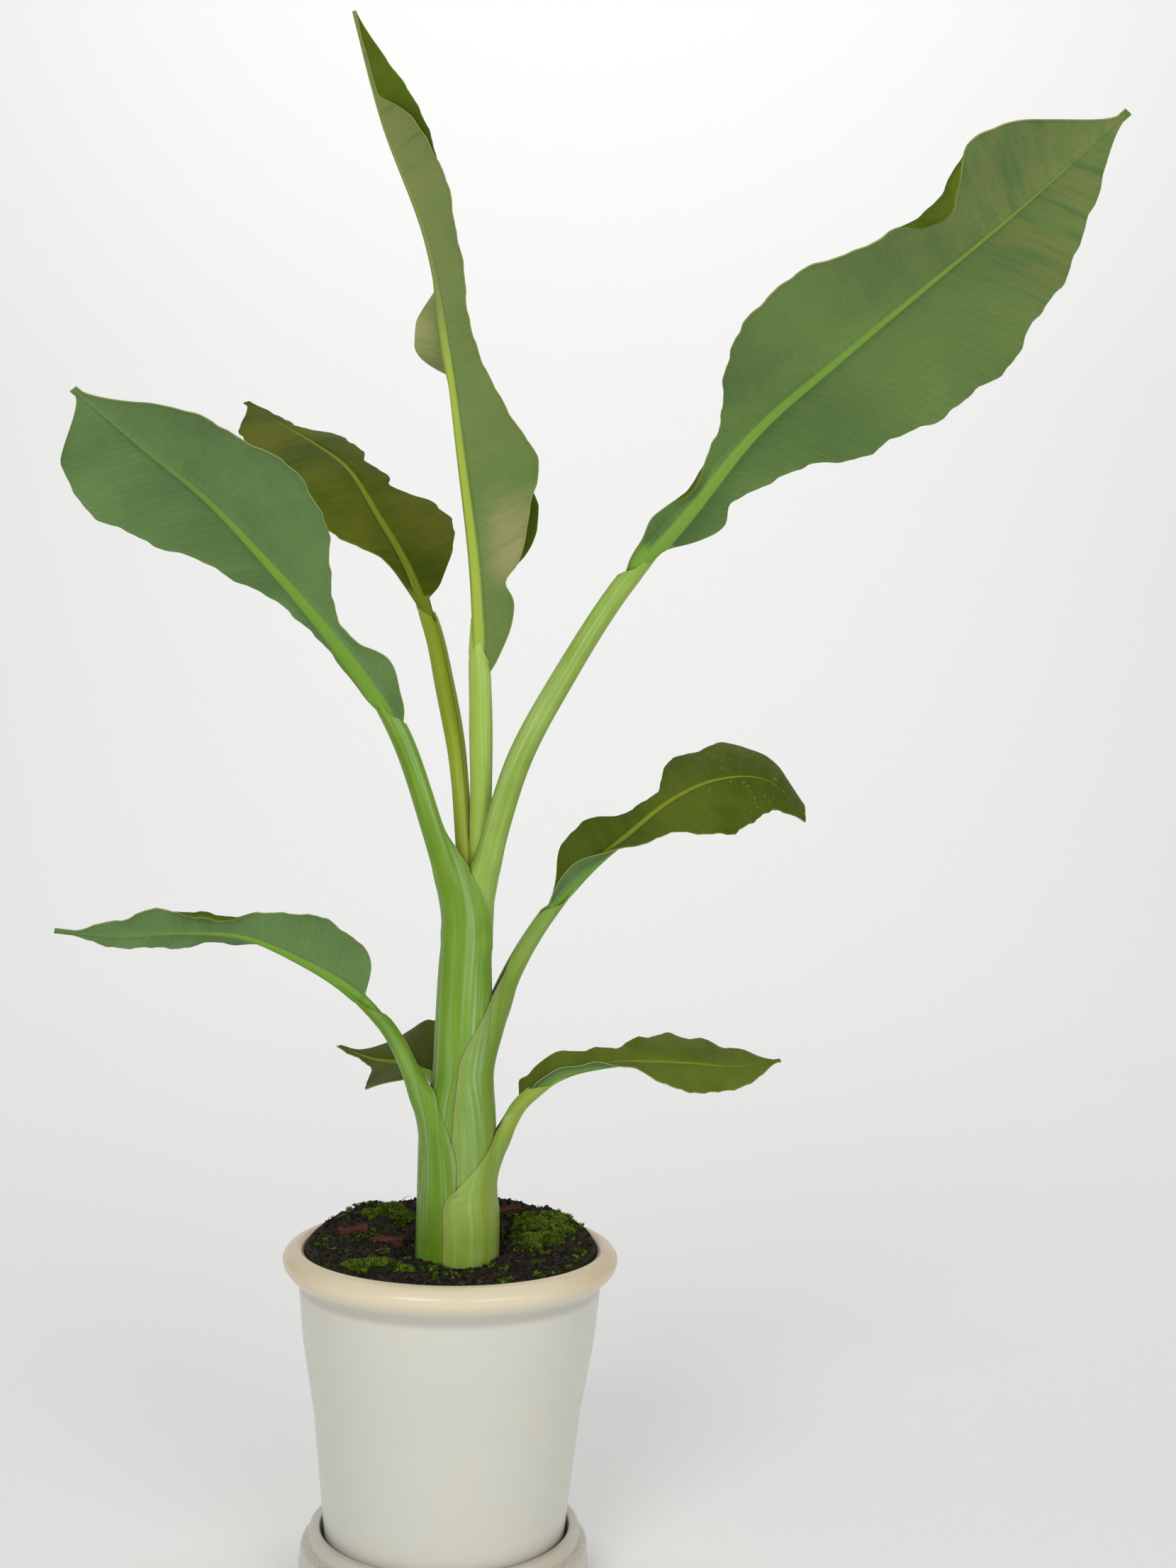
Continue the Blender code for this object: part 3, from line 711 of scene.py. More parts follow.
def turned_smooth(name, profile, bevel):
    """Turned body with softened corners, from a profile that runs down its outer side."""
    edges = [(k, k + 1) for k in range(len(profile) - 1)]
    obj = add_object(name, new_mesh(name, [(r, 0, z) for r, z in profile], [], edges))
    soft = obj.modifiers.new("corners", "BEVEL")
    soft.affect = "VERTICES"
    soft.width = bevel
    soft.segments = 4
    turn = obj.modifiers.new("turn", "SCREW")
    turn.steps = TURN_STEPS
    turn.render_steps = TURN_STEPS
    turn.use_merge_vertices = True
    turn.merge_threshold = 0.00005
    applied(obj)
    with edited(obj.data) as bm:
        bmesh.ops.remove_doubles(bm, verts=bm.verts, dist=0.00002)
        bmesh.ops.recalc_face_normals(bm, faces=bm.faces)
    outward(obj.data)
    shade_smooth(obj)
    return obj


def glaze(name, base, warm, groove=False):
    """Cream glaze, with dirt in the saucer's groove, or with the pot's warmer rim, painted shade in the
    crease under its roll and painted warm shade on its left and right ends.
    """
    skin = Finish(name, base, Specular_IOR_Level=0.5, Coat_Weight=0.35, Coat_Roughness=0.16)
    fleck = skin.noise(skin.place(), 700.0, 2.0)
    ripple = skin.noise(skin.place(1, 1, 2.2), 60.0, 2.0)
    height = skin.axis(skin.place(), "Z")
    skin.tint(warm, skin.noise(skin.place(), 9.0, 3.0), 0.3, 0.7, 0.25)
    skin.tint(dim(warm, 0.72), fleck, 0.70, 0.76, 0.25)
    if groove:
        above = skin.spread(height, SAUCER_SHOULDER_Z - 0.0015, SAUCER_SHOULDER_Z + 0.0005)
        below = skin.spread(height, SAUCER_SHOULDER_Z + 0.0045, SAUCER_SHOULDER_Z + 0.0005)
        dirt = skin.times(skin.spread(fleck, 0.5, 0.62), skin.times(above, below), 0.5)
        skin.cover(tone(110, 96, 78), dirt)
    else:
        skin.tint(warm, height, 0.196, 0.209, 0.85)
        away = skin.node("ShaderNodeVectorMath", {"operation": "LENGTH"}, Vector=skin.place(1, 1, 0))["Value"]
        inside = skin.times(skin.spread(away, 0.107, 0.099, 0.0, 0.8), skin.spread(height, 0.206, 0.209))
        skin.cover(tone(206, 178, 144), inside)
        # painted shade: the rim's ends to the left and right of the view are made darker and warmer, where
        # the rim turns away from the front light
        beside = skin.maths("ABSOLUTE", skin.axis(skin.place(), "X"))
        painted_end_shade = skin.times(skin.spread(beside, 0.060, 0.108, 0.0, 0.42), skin.spread(height, 0.199, 0.206))
        skin.cover(tone(196, 160, 112), painted_end_shade)
        # painted shade: a grey band in the crease under the rim's roll, where the roll's shadow falls
        painted_neck_shade = skin.times(skin.spread(height, 0.1890, 0.1945), skin.spread(height, 0.2015, 0.1955, 0.0, 0.45))
        skin.cover(tone(150, 144, 126), painted_neck_shade)
    return skin.done(skin.spread(ripple, 0.3, 0.7, 0.30, 0.42), ripple, 0.0004, 0.35)


def make_saucer():
    profile = (
        (0, SAUCER_FLOOR_Z),
        (SAUCER_BORE_R, SAUCER_FLOOR_Z),
        (SAUCER_BORE_R + 0.0012, SAUCER_RING_TOP_Z - 0.0006),
        (SAUCER_BORE_R + 0.0030, SAUCER_RING_TOP_Z),
        (SAUCER_RING_R - 0.0016, SAUCER_RING_TOP_Z),
        (SAUCER_RING_R, SAUCER_RING_TOP_Z - 0.0020),
        (SAUCER_RING_R, SAUCER_SHOULDER_Z + 0.0008),
        (SAUCER_WALL_R - 0.0014, SAUCER_SHOULDER_Z),
        (SAUCER_WALL_R, SAUCER_SHOULDER_Z - 0.0020),
        (SAUCER_WALL_R + 0.0010, 0.0080),
        (SAUCER_FOOT_R + 0.0006, 0.0006),
        (SAUCER_FOOT_R - 0.0010, 0),
        (0, 0),
    )
    obj = turned_smooth("saucer_body", profile, 0.0009)
    cream = glaze("saucer_glaze_cream", tone(192, 187, 172), tone(194, 176, 152), groove=True)
    obj.data.materials.append(cream)
    settle(obj, "saucer_glaze", "saucer")


def make_pot():
    lip = (
        (MOUTH_WALL_R, MOUTH_WALL_Z),
        (MOUTH_R - 0.0015, RIM_MID_Z),
        (MOUTH_R, RIM_TOP_Z - 0.0030),
        (MOUTH_R + 0.0030, RIM_TOP_Z - 0.0004),
        (MOUTH_R + 0.0060, RIM_TOP_Z),
        (RIM_R - 0.0035, RIM_TOP_Z - 0.0018),
        (RIM_R - 0.0006, RIM_TOP_Z - 0.0055),
        (RIM_R, RIM_MID_Z),
        (RIM_R - 0.0012, RIM_MID_Z - 0.0042),
        (RIM_R - 0.0045, RIM_MID_Z - 0.0085),
        (POT_NECK_R + 0.0025, RIM_MID_Z - 0.0125),
        (POT_NECK_R + 0.0004, POT_NECK_Z + 0.0020),
        (POT_NECK_R, POT_NECK_Z - 0.0030),
    )
    wall = (
        (0.0957, 0.1590),
        (0.0875, 0.1110),
        (POT_FOOT_R + 0.0020, POT_Z + 0.0200),
        (POT_FOOT_R, POT_Z + 0.0020),
        (POT_FOOT_R - 0.0020, POT_Z),
        (0, POT_Z),
    )
    floor = ((0, POT_FLOOR_Z), (POT_FLOOR_R, POT_FLOOR_Z))
    obj = turned_smooth("pot_body", (*floor, *smooth(lip, np.linspace(0, 1, 61)), *wall), 0.0003)
    obj.data.materials.append(glaze("pot_glaze_cream", tone(200, 201, 192), tone(220, 206, 172)))
    settle(obj, "pot_glaze", "pot")


# soil, moss and bark


def mound(x, y, middle, height, spread):
    return height * np.exp(-((x - middle[0]) ** 2 + (y - middle[1]) ** 2) / spread**2)


def ground(x, y):
    """Height of the soil's surface."""
    r = np.hypot(x, y)
    away = np.clip((np.hypot(x - STEM_RINGS[0][2], y) - SEAT_R - 0.003) / 0.02, 0, 1)
    z = SOIL_EDGE_Z - SOIL_HOLLOW * np.exp(-((r / 0.045) ** 2))
    z = z + SOIL_BACK_RISE * np.clip((y + 0.01) / 0.07, 0, 1)
    for shape in MOUNDS:
        z = z + mound(x, y, *shape)
    edge = np.clip((0.0975 - r) / 0.004, 0, 1)
    z = SOIL_EDGE_Z - 0.002 + (z - SOIL_EDGE_Z + 0.002) * edge
    return SEAT_Z + (z - SEAT_Z) * away**0.7


def ground_at(x, y):
    return float(ground(np.array([x]), np.array([y]))[0])


def rough_ground(x, y):
    """Soil surface with its clods and heaps, calm near the stem and the pot."""
    pairs = zip(x * CLODS_PER_METRE, y * CLODS_PER_METRE)
    clods = np.array([CLOD_HEIGHT * noise.fractal((a, b, 0.0), 0.9, 2.1, 4) for a, b in pairs])
    calm = np.clip((np.hypot(x - STEM_RINGS[0][2], y) - 0.022) / 0.01, 0.15, 1)
    calm = calm * np.clip((SOIL_R - np.hypot(x, y)) / 0.004, 0.1, 1)
    sides = SIDE_RISE * ease(np.hypot(x, y), 0.055, 0.088) * ease(y, -0.075, -0.02)
    heaps = sum(mound(x, y, *shape) for shape in HEAPS)
    return ground(x, y) + 0.0012 + sides + heaps + clods * calm


def make_soil():
    """Closed body of soil with a clodded top."""
    radii = np.linspace(0.0, SOIL_R, SOIL_HOOPS + 1)[1:]
    turns = np.arange(SOIL_SPOKES) * 2 * math.pi / SOIL_SPOKES
    x = np.concatenate([[0.0], (radii[:, None] * np.cos(turns)).ravel()])
    y = np.concatenate([[0.0], (radii[:, None] * np.sin(turns)).ravel()])
    verts = np.stack([x, y, rough_ground(x, y)], axis=1).tolist()
    for r, level in ((MOUTH_WALL_R - 2 * GAP, MOUTH_WALL_Z), (POT_FLOOR_R - 2 * GAP, POT_FLOOR_Z + GAP)):
        verts += [(r * math.cos(t), r * math.sin(t), level) for t in turns]
    spokes = [(j, (j + 1) % SOIL_SPOKES) for j in range(SOIL_SPOKES)]
    faces = [(0, 1 + j, 1 + n) for j, n in spokes]
    for a in range(1, len(verts) - SOIL_SPOKES, SOIL_SPOKES):
        b = a + SOIL_SPOKES
        faces += [(a + j, b + j, b + n, a + n) for j, n in spokes]
    faces.append(tuple(range(len(verts) - 1, len(verts) - 1 - SOIL_SPOKES, -1)))
    mesh = new_mesh("soil_bed", verts, faces)
    skin = Finish("soil_dark", tone(30, 27, 21), Specular_IOR_Level=0.15)
    grain = skin.noise(skin.place(), 420.0, 6.0, 0.7)
    skin.tint(tone(50, 44, 34), skin.noise(skin.place(), 60.0), 0.35, 0.65)
    skin.tint(tone(84, 74, 58), grain, 0.52, 0.66, 0.8)
    skin.cover(tone(18, 15, 11), skin.spread(grain, 0.30, 0.42, 0.7, 0.0))
    dark = skin.done(skin.spread(grain, 0.3, 0.7, 0.85, 1.0), grain, 0.0016, 0.9)
    settle(smooth_body("soil_bed", mesh, dark), "soil", "soil")


def scatter(name, ground_mesh, density, size, spread, seed, grain, colour, roughness, tilt=0.6, lift=0.0):
    """Many small pieces spread over a surface by a node tree, as one plain mesh."""
    tree = bpy.data.node_groups.new(name + "_tree", "GeometryNodeTree")
    for way in ("INPUT", "OUTPUT"):
        tree.interface.new_socket("Geometry", in_out=way, socket_type="NodeSocketGeometry")
    values = {"Density": float(density), "Size": float(size), "Spread": float(spread), "Seed": seed}
    sockets = {}
    for label, value in values.items():
        kind = "NodeSocketInt" if label == "Seed" else "NodeSocketFloat"
        sockets[label] = tree.interface.new_socket(label, in_out="INPUT", socket_type=kind)
    entry = add_node(tree, "NodeGroupInput")
    spots = {"Mesh": entry["Geometry"], "Density": entry["Density"], "Seed": entry["Seed"]}
    corners = {0: (-tilt, -tilt, 0.0), 1: (tilt, tilt, 2 * math.pi), "Seed": entry["Seed"]}
    ends = {0: entry["Size"], 1: entry["Spread"]}
    sizes = {
        2: add_node(tree, "ShaderNodeMath", {"operation": "SUBTRACT"}, ends)[0],
        3: add_node(tree, "ShaderNodeMath", {"operation": "ADD"}, ends)[0],
        "Seed": entry["Seed"],
    }
    copies = {
        "Points": add_node(tree, "GeometryNodeDistributePointsOnFaces", (), spots)["Points"],
        "Instance": add_node(tree, "GeometryNodeObjectInfo", (), {"Object": grain})["Geometry"],
        "Rotation": add_node(tree, "FunctionNodeRandomValue", {"data_type": "FLOAT_VECTOR"}, corners)[0],
        "Scale": add_node(tree, "FunctionNodeRandomValue", {"data_type": "FLOAT"}, sizes)[1],
    }
    made = add_node(tree, "GeometryNodeInstanceOnPoints", (), copies)["Instances"]
    made = add_node(tree, "GeometryNodeRealizeInstances", (), {"Geometry": made})["Geometry"]
    paint = {"Geometry": made, "Material": plain(name, colour, roughness)}
    made = add_node(tree, "GeometryNodeSetMaterial", (), paint)["Geometry"]
    add_node(tree, "NodeGroupOutput", (), {"Geometry": made})
    obj = add_object(name, ground_mesh.copy())
    step = obj.modifiers.new("scatter", "NODES")
    step.node_group = tree
    for label, value in values.items():
        step[sockets[label].identifier] = value
    applied(obj)
    obj.data.transform(Matrix.Translation((0, 0, lift)))
    return obj


def surface_patch(name, keep):
    """Open piece of the soil's surface where keep(x, y) holds, to spread small things over."""
    side = np.linspace(-SOIL_R, SOIL_R, PATCH_STEPS)
    x, y = (a.ravel() for a in np.meshgrid(side, side))
    inside = keep(x, y) & (np.hypot(x, y) < SOIL_R - 0.002)
    faces = []
    for k in range(PATCH_STEPS - 1):
        for a in range(k * PATCH_STEPS, (k + 1) * PATCH_STEPS - 1):
            corner = (a, a + 1, a + PATCH_STEPS + 1, a + PATCH_STEPS)
            if all(inside[c] for c in corner):
                faces.append(corner)
    mesh = new_mesh(name, np.stack([x, y, rough_ground(x, y)], axis=1).tolist(), faces)
    with edited(mesh) as bm:
        bmesh.ops.delete(bm, geom=[v for v in bm.verts if not v.link_faces], context="VERTS")
    return mesh


def clod(name, seed, flat):
    """Lumpy grain of unit size."""
    mesh = bpy.data.meshes.new(name)
    with edited(mesh) as bm:
        bmesh.ops.create_icosphere(bm, subdivisions=1, radius=0.5)
        for v in bm.verts:
            v.co *= 1 + 0.5 * noise.noise(v.co * 2.3 + Vector((seed, seed * 2.0, 0)))
            v.co.z *= flat
    return add_object(name, mesh)


def moss_tuft(name):
    """Tuft of short pointed leaflets, each a thin closed blade of unit height."""
    verts, faces = [], []
    for n in range(LEAFLETS):
        share = n / LEAFLETS
        lean = 0.15 + 0.75 * share
        out, across = compass(n * LEAFLET_TURN)
        across = across * 0.085
        tip = out * lean + np.array([0, 0, 1.0 - 0.45 * share])
        middle = out * lean * 0.45 + np.array([0, 0, 0.55])
        b = len(verts)
        verts += [-across * 0.6, across * 0.6, out * 0.07, middle - across, middle + across, tip]
        faces += [(b, b + 1, b + 4, b + 3), (b + 3, b + 4, b + 5)]
        faces += [(b, b + 3, b + 2), (b + 1, b + 2, b + 4), (b + 2, b + 3, b + 5)]
        faces += [(b + 2, b + 5, b + 4), (b, b + 2, b + 1)]
    mesh = new_mesh(name, [tuple(v) for v in verts], faces)
    with edited(mesh) as bm:
        bmesh.ops.recalc_face_normals(bm, faces=bm.faces)
    return add_object(name, mesh)


def splinter(name):
    """Short bent fibre of unit length with three sides."""
    rings = []
    for t in np.arange(6) / 5:
        wide = 0.03 * (1 - 0.7 * t)
        middle = np.array([t - 0.5, 0.18 * math.sin(t * 2.6), 0.10 * math.sin(t * 3.1)])
        corners = [np.array([0, wide * math.cos(a), wide * math.sin(a)]) for a in (0.0, 2.1, 4.2)]
        rings.append([middle + corner for corner in corners])
    mesh = ring_body(name, np.array(rings))
    outward(mesh)
    return add_object(name, mesh)


def moss_bed(name, n, x0, y0, size, height):
    """Dark lumpy cushion under a pad of moss."""
    mesh = bpy.data.meshes.new(name)
    with edited(mesh) as bm:
        bmesh.ops.create_icosphere(bm, subdivisions=4, radius=1.0)
        for v in bm.verts:
            spot = v.co + Vector((n * 7.0, 0, 0))
            lump = 1 + 0.30 * noise.noise(spot * 2.2) + 0.22 * noise.noise(spot * 5.5)
            x = x0 + v.co.x * size[0] * lump
            y = y0 + v.co.y * size[1] * lump
            low = ground_at(x, y)
            v.co = (x, y, max(low + GAP, low + v.co.z * height * lump * 0.8))
    outward(mesh)
    mesh.materials.append(plain(name + "_dark", tone(32, 36, 18), 1.0))
    return add_object(name, mesh)


def thin_spots(x, y):
    """Where thin moss grows between the pads."""
    return noise_field(x, y, 55.0, 3.7) + 0.6 * noise_field(x, y, 170.0, 1.3) > 0.20


def make_moss():
    tuft = moss_tuft("tuft")
    for n, (name, x0, y0, size, height, density, tall) in enumerate(MOSS_PADS):
        layers = [moss_bed(name + "_bed", n, x0, y0, size, height)]
        top = layers[0].data.copy()
        with edited(top) as bm:
            bare = [f for f in bm.faces if noise.noise(f.calc_center_median() * 95) < -0.04]
            bmesh.ops.delete(bm, geom=bare, context="FACES")
        for k, (shade, colour) in enumerate(MOSS_SHADES):
            label = name + "_" + shade
            seed = 11 * n + k
            layers.append(scatter(label, top, density[k], tall, TUFT_SPREAD, seed, tuft, tone(*colour), 0.8))
        settle(join(name + "_tufts", layers), "moss", name)
    patch = surface_patch("thin_moss_ground", thin_spots)
    thin = []
    for k, (shade, colour) in enumerate(MOSS_SHADES):
        thin.append(scatter("thin_moss_" + shade, patch, *THIN_MOSS[k], 60 + k, tuft, tone(*colour), 0.8))
    settle(join("thin_moss", thin), "moss")
    bpy.data.objects.remove(tuft, do_unlink=True)


def make_crumbs():
    """Crumbs and fibres of soil all round the stem."""
    everywhere = surface_patch("crumb_ground", lambda x, y: np.hypot(x - 0.0035, y) > 0.024)
    grains = [clod("grain_a", 1.7, 0.7), clod("grain_b", 5.2, 0.55)]
    browns = (tone(34, 29, 23), tone(58, 48, 37), tone(20, 17, 13))
    layers = []
    for k, brown in enumerate(browns):
        small = (everywhere, 42000, 0.0019, 0.0009, 21 + k, grains[k % 2], brown, 1.0, 3.0)
        layers.append(scatter("crumbs_" + "abc"[k], *small))
    layers.append(scatter("crumbs_big", everywhere, 2600, 0.0044, 0.0016, 31, grains[0], browns[0], 1.0, 3.0))
    settle(join("soil_crumbs", layers), "soil")
    fibre = splinter("fibre")
    dark = ("fibres_dark", everywhere, 9000, 0.0068, 0.0030, 41, fibre, tone(52, 36, 24), 0.9, 0.5, 0.0006)
    pale = ("fibres_pale", everywhere, 1100, 0.0060, 0.0026, 42, fibre, tone(150, 124, 84), 0.9, 0.5, 0.0010)
    settle(join("soil_fibres", [scatter(*dark), scatter(*pale)]), "soil")
    for obj in grains + [fibre]:
        bpy.data.objects.remove(obj, do_unlink=True)


def make_bark():
    for n, (name, x0, y0, size, turn, tilt) in enumerate(BARK_CHIPS):
        mesh = bpy.data.meshes.new(name + "_slab")
        c, s = math.cos(turn), math.sin(turn)
        base = ground_at(x0, y0) + size[2] * 0.25
        with edited(mesh) as bm:
            bmesh.ops.create_cube(bm, size=1.0)
            bmesh.ops.subdivide_edges(bm, edges=bm.edges, cuts=14, use_grid_fill=True)
            for v in bm.verts:
                p = v.co.copy()
                fray = 1 + 0.22 * noise.noise((p.x * 5, p.z * 3, n * 4.0))
                ridge = 0.16 * noise.noise((p.x * 3, p.y * 14, n * 9.0 + 1))
                ridge = ridge + 0.10 * noise.noise((p.x * 9, p.y * 22, n * 5.0))
                px = p.x * size[0] * (1 + 0.15 * noise.noise((p.y * 7, p.z * 4, n * 3.0)))
                py = p.y * size[1] * fray
                pz = (p.z + ridge * (1 if p.z > 0 else 0.4)) * size[2] + px * math.tan(tilt)
                v.co = (x0 + px * c - py * s, y0 + px * s + py * c, base + pz)
        skin = Finish(name + "_red_brown", tone(62, 34, 24), Specular_IOR_Level=0.25)
        grain = skin.noise(skin.place(60, 420, 300), detail=5.0)
        skin.tint(tone(94, 50, 36), skin.noise(skin.place(), 120.0, 3.0), 0.3, 0.7)
        skin.tint(tone(44, 26, 18), grain, 0.45, 0.7, 0.7)
        bark = skin.done(skin.spread(grain, 0.3, 0.7, 0.75, 0.95), grain, 0.0008, 0.8)
        settle(smooth_body(name + "_slab", mesh, bark), "bark", name)


# stem, sheaths and stalks


def stem_at(z):
    """Half width and lean of the whole stem at a height."""
    heights, halves, leans = zip(*STEM_RINGS)
    return np.interp(np.maximum(z, FOOT_Z), heights, halves), np.interp(z, heights, leans)


def outer_layers(layer, z):
    """How many sheaths lie outside this one at a height."""
    count = np.zeros(len(z))
    for leaf in LEAVES.values():
        if leaf["layer"] < layer:
            count += 1 - ease(z, *leaf["parting"])
    return count


class StemSurface:
    """Outside of the sheaths laid so far: distance from the stem's middle by height and by turn."""

    def __init__(self, levels=340, turns=144):
        self.low, self.high = STEM_FOOT_Z, STEM_TOP_Z
        z = np.linspace(self.low, self.high, levels)
        self.out = np.repeat(core_half(z)[:, None], turns, axis=1)

    def spot(self, points):
        """Distance of points from the stem's middle, and their height and turn as shares of the whole."""
        z = points[..., 2]
        ahead = points[..., 0] - stem_at(z)[1]
        turn = np.arctan2(points[..., 1], ahead) / (2 * math.pi) % 1
        return np.hypot(ahead, points[..., 1]), np.clip((z - self.low) / (self.high - self.low), 0, 1), turn

    def under(self, points):
        """Distance of the surface under points, and their own distance."""
        away, level, turn = self.spot(points)
        rows, cols = self.out.shape
        u, v = level * (rows - 1), turn * cols
        i, j = np.minimum(u.astype(int), rows - 2), v.astype(int) % cols
        f, g = u - i, v - np.floor(v)
        n = (j + 1) % cols
        low = self.out[i, j] * (1 - g) + self.out[i, n] * g
        high = self.out[i + 1, j] * (1 - g) + self.out[i + 1, n] * g
        return low * (1 - f) + high * f, away

    def clear(self, points, gap):
        """Points moved out so that they lie at least a gap above the surface."""
        surface, away = self.under(points)
        need = surface + gap
        loose = ease(points[..., 2], STEM_TOP_Z - 0.02, STEM_TOP_Z)
        grow = np.where(away < need, need / np.maximum(away, 0.0005), 1.0)
        grow = 1 + (np.minimum(grow, 6.0) - 1) * (1 - loose)
        lean = stem_at(points[..., 2])[1]
        moved = points.copy()
        moved[..., 0] = lean + (points[..., 0] - lean) * grow
        moved[..., 1] = points[..., 1] * grow
        return moved

    def lay(self, grid):
        """Take a sheath's outer skin into the surface, and one cell more all round."""
        fine = grid[grid[:, :, 2].min(axis=1) < self.high]
        for _ in range(3):
            fine = halved(halved(fine).transpose(1, 0, 2)).transpose(1, 0, 2)
        away, level, turn = self.spot(fine)
        rows, cols = self.out.shape
        inside = fine[..., 2] < self.high
        i = np.round(level * (rows - 1)).astype(int)[inside]
        j = np.round(turn * cols).astype(int)[inside] % cols
        laid = np.zeros(self.out.shape)
        np.maximum.at(laid, (i, j), np.minimum(away[inside], WRAP_LIMIT))
        laid = np.maximum(laid, np.maximum(np.roll(laid, 1, axis=1), np.roll(laid, -1, axis=1)))
        laid[1:-1] = np.maximum(laid[1:-1], np.maximum(laid[:-2], laid[2:]))
        self.out = np.maximum(self.out, laid)


def halved(grid):
    """Rows of points with a middle row put between each two."""
    out = np.empty((2 * len(grid) - 1, *grid.shape[1:]))
    out[::2] = grid
    out[1::2] = (grid[1:] + grid[:-1]) / 2
    return out


def core_half(z):
    """Half width of the stem's heart, which ends inside the two youngest leaves."""
    half = stem_at(z)[0] - SHEATH_THICK - LAYER * outer_layers(len(LEAVES), z)
    return half * (1 - ease(z, STEM_TOP_Z - 0.085, STEM_TOP_Z - 0.02)) + 0.0008


def make_core():
    heights = np.linspace(STEM_FOOT_Z, STEM_TOP_Z - 0.012, CORE_ROWS)
    inner, lean = core_half(heights)[:, None], stem_at(heights)[1][:, None]
    turns = np.arange(CORE_TURNS) * 2 * math.pi / CORE_TURNS
    level = np.repeat(heights[:, None], CORE_TURNS, axis=1)
    rings = np.stack([lean + inner * np.cos(turns), inner * np.sin(turns), level], axis=2)
    mesh = ring_body("stem_core", rings)
    lay_uv(mesh, np.tile(turns * 0.02, (CORE_ROWS, 1)), level)
    point_values(mesh, rim=0 * level, hollow=0 * level)
    settle(smooth_body("stem_core", mesh, stalks["plain"]), "stem", "stem")


def sheath_path(leaf):
    """Places, headings and half widths from the stem's foot into the blade, and how far the end has sunk."""
    points = leaf["points"]
    last = len(points) - 1
    first = leaf["stalk_points"] - 1
    place, heading, _ = rib_line(points, 0, first, STALK_ROWS)
    _, _, whole = rib_line(points, first, last, 8)
    tail, tail_way, _ = rib_line(points, first, first + STALK_TAIL / whole * (last - first), TAIL_ROWS + 1)
    low = np.linspace(STEM_FOOT_Z, place[0][2], SHEATH_ROWS + 1)[:-1]
    root = leaf.get("root", place[0])
    rise = np.clip((low - root[2]) / max(place[0][2] - root[2], GAP), 0, 1)
    down = np.stack([mix(root[0], place[0][0], rise), mix(root[1], place[0][1], rise), low], axis=1)
    up = np.tile([0.0, 0.0, 1.0], (SHEATH_ROWS, 1))
    half = smooth(leaf["stalk_half"], np.linspace(0, 1, STALK_ROWS))[:, 0]
    thinning = 1 - TAIL_TAPER * np.linspace(0.1, 1, TAIL_ROWS) ** 1.8
    half = np.concatenate([0 * low + half[0], half, half[-1] * thinning])
    sunk = np.concatenate([np.zeros(SHEATH_ROWS + STALK_ROWS), np.linspace(0.15, 1, TAIL_ROWS)])
    place = np.concatenate([down, place, tail[1:]])
    heading = np.concatenate([up, heading, tail_way[1:]])
    return place, heading, half, sunk


def swept(axis, out, level, wrap, wrap_r, limb, share):
    """Points between a wrap round the stem and a stalk's section, mixed by turn and by distance."""
    rel = limb - axis
    ahead, beside = rel @ out, rel @ level
    away = np.hypot(ahead, beside)
    turn = np.arctan2(beside, ahead)
    crossed = (np.sign(turn) * np.sign(wrap) < 0) & (ahead < 0)
    turn = np.where(crossed, np.sign(wrap) * math.pi, turn) * ease(away, 0.0, 0.004)
    hug = mix(wrap, turn, share)
    far = mix(wrap_r, away, share)
    swing = axis + np.outer(np.cos(hug) * far, out) + np.outer(np.sin(hug) * far, level)
    swing[:, 2] = mix(axis[2], limb[:, 2], share)
    return mix(swing, limb, ease(share, 0.75, 1.0)[:, None])


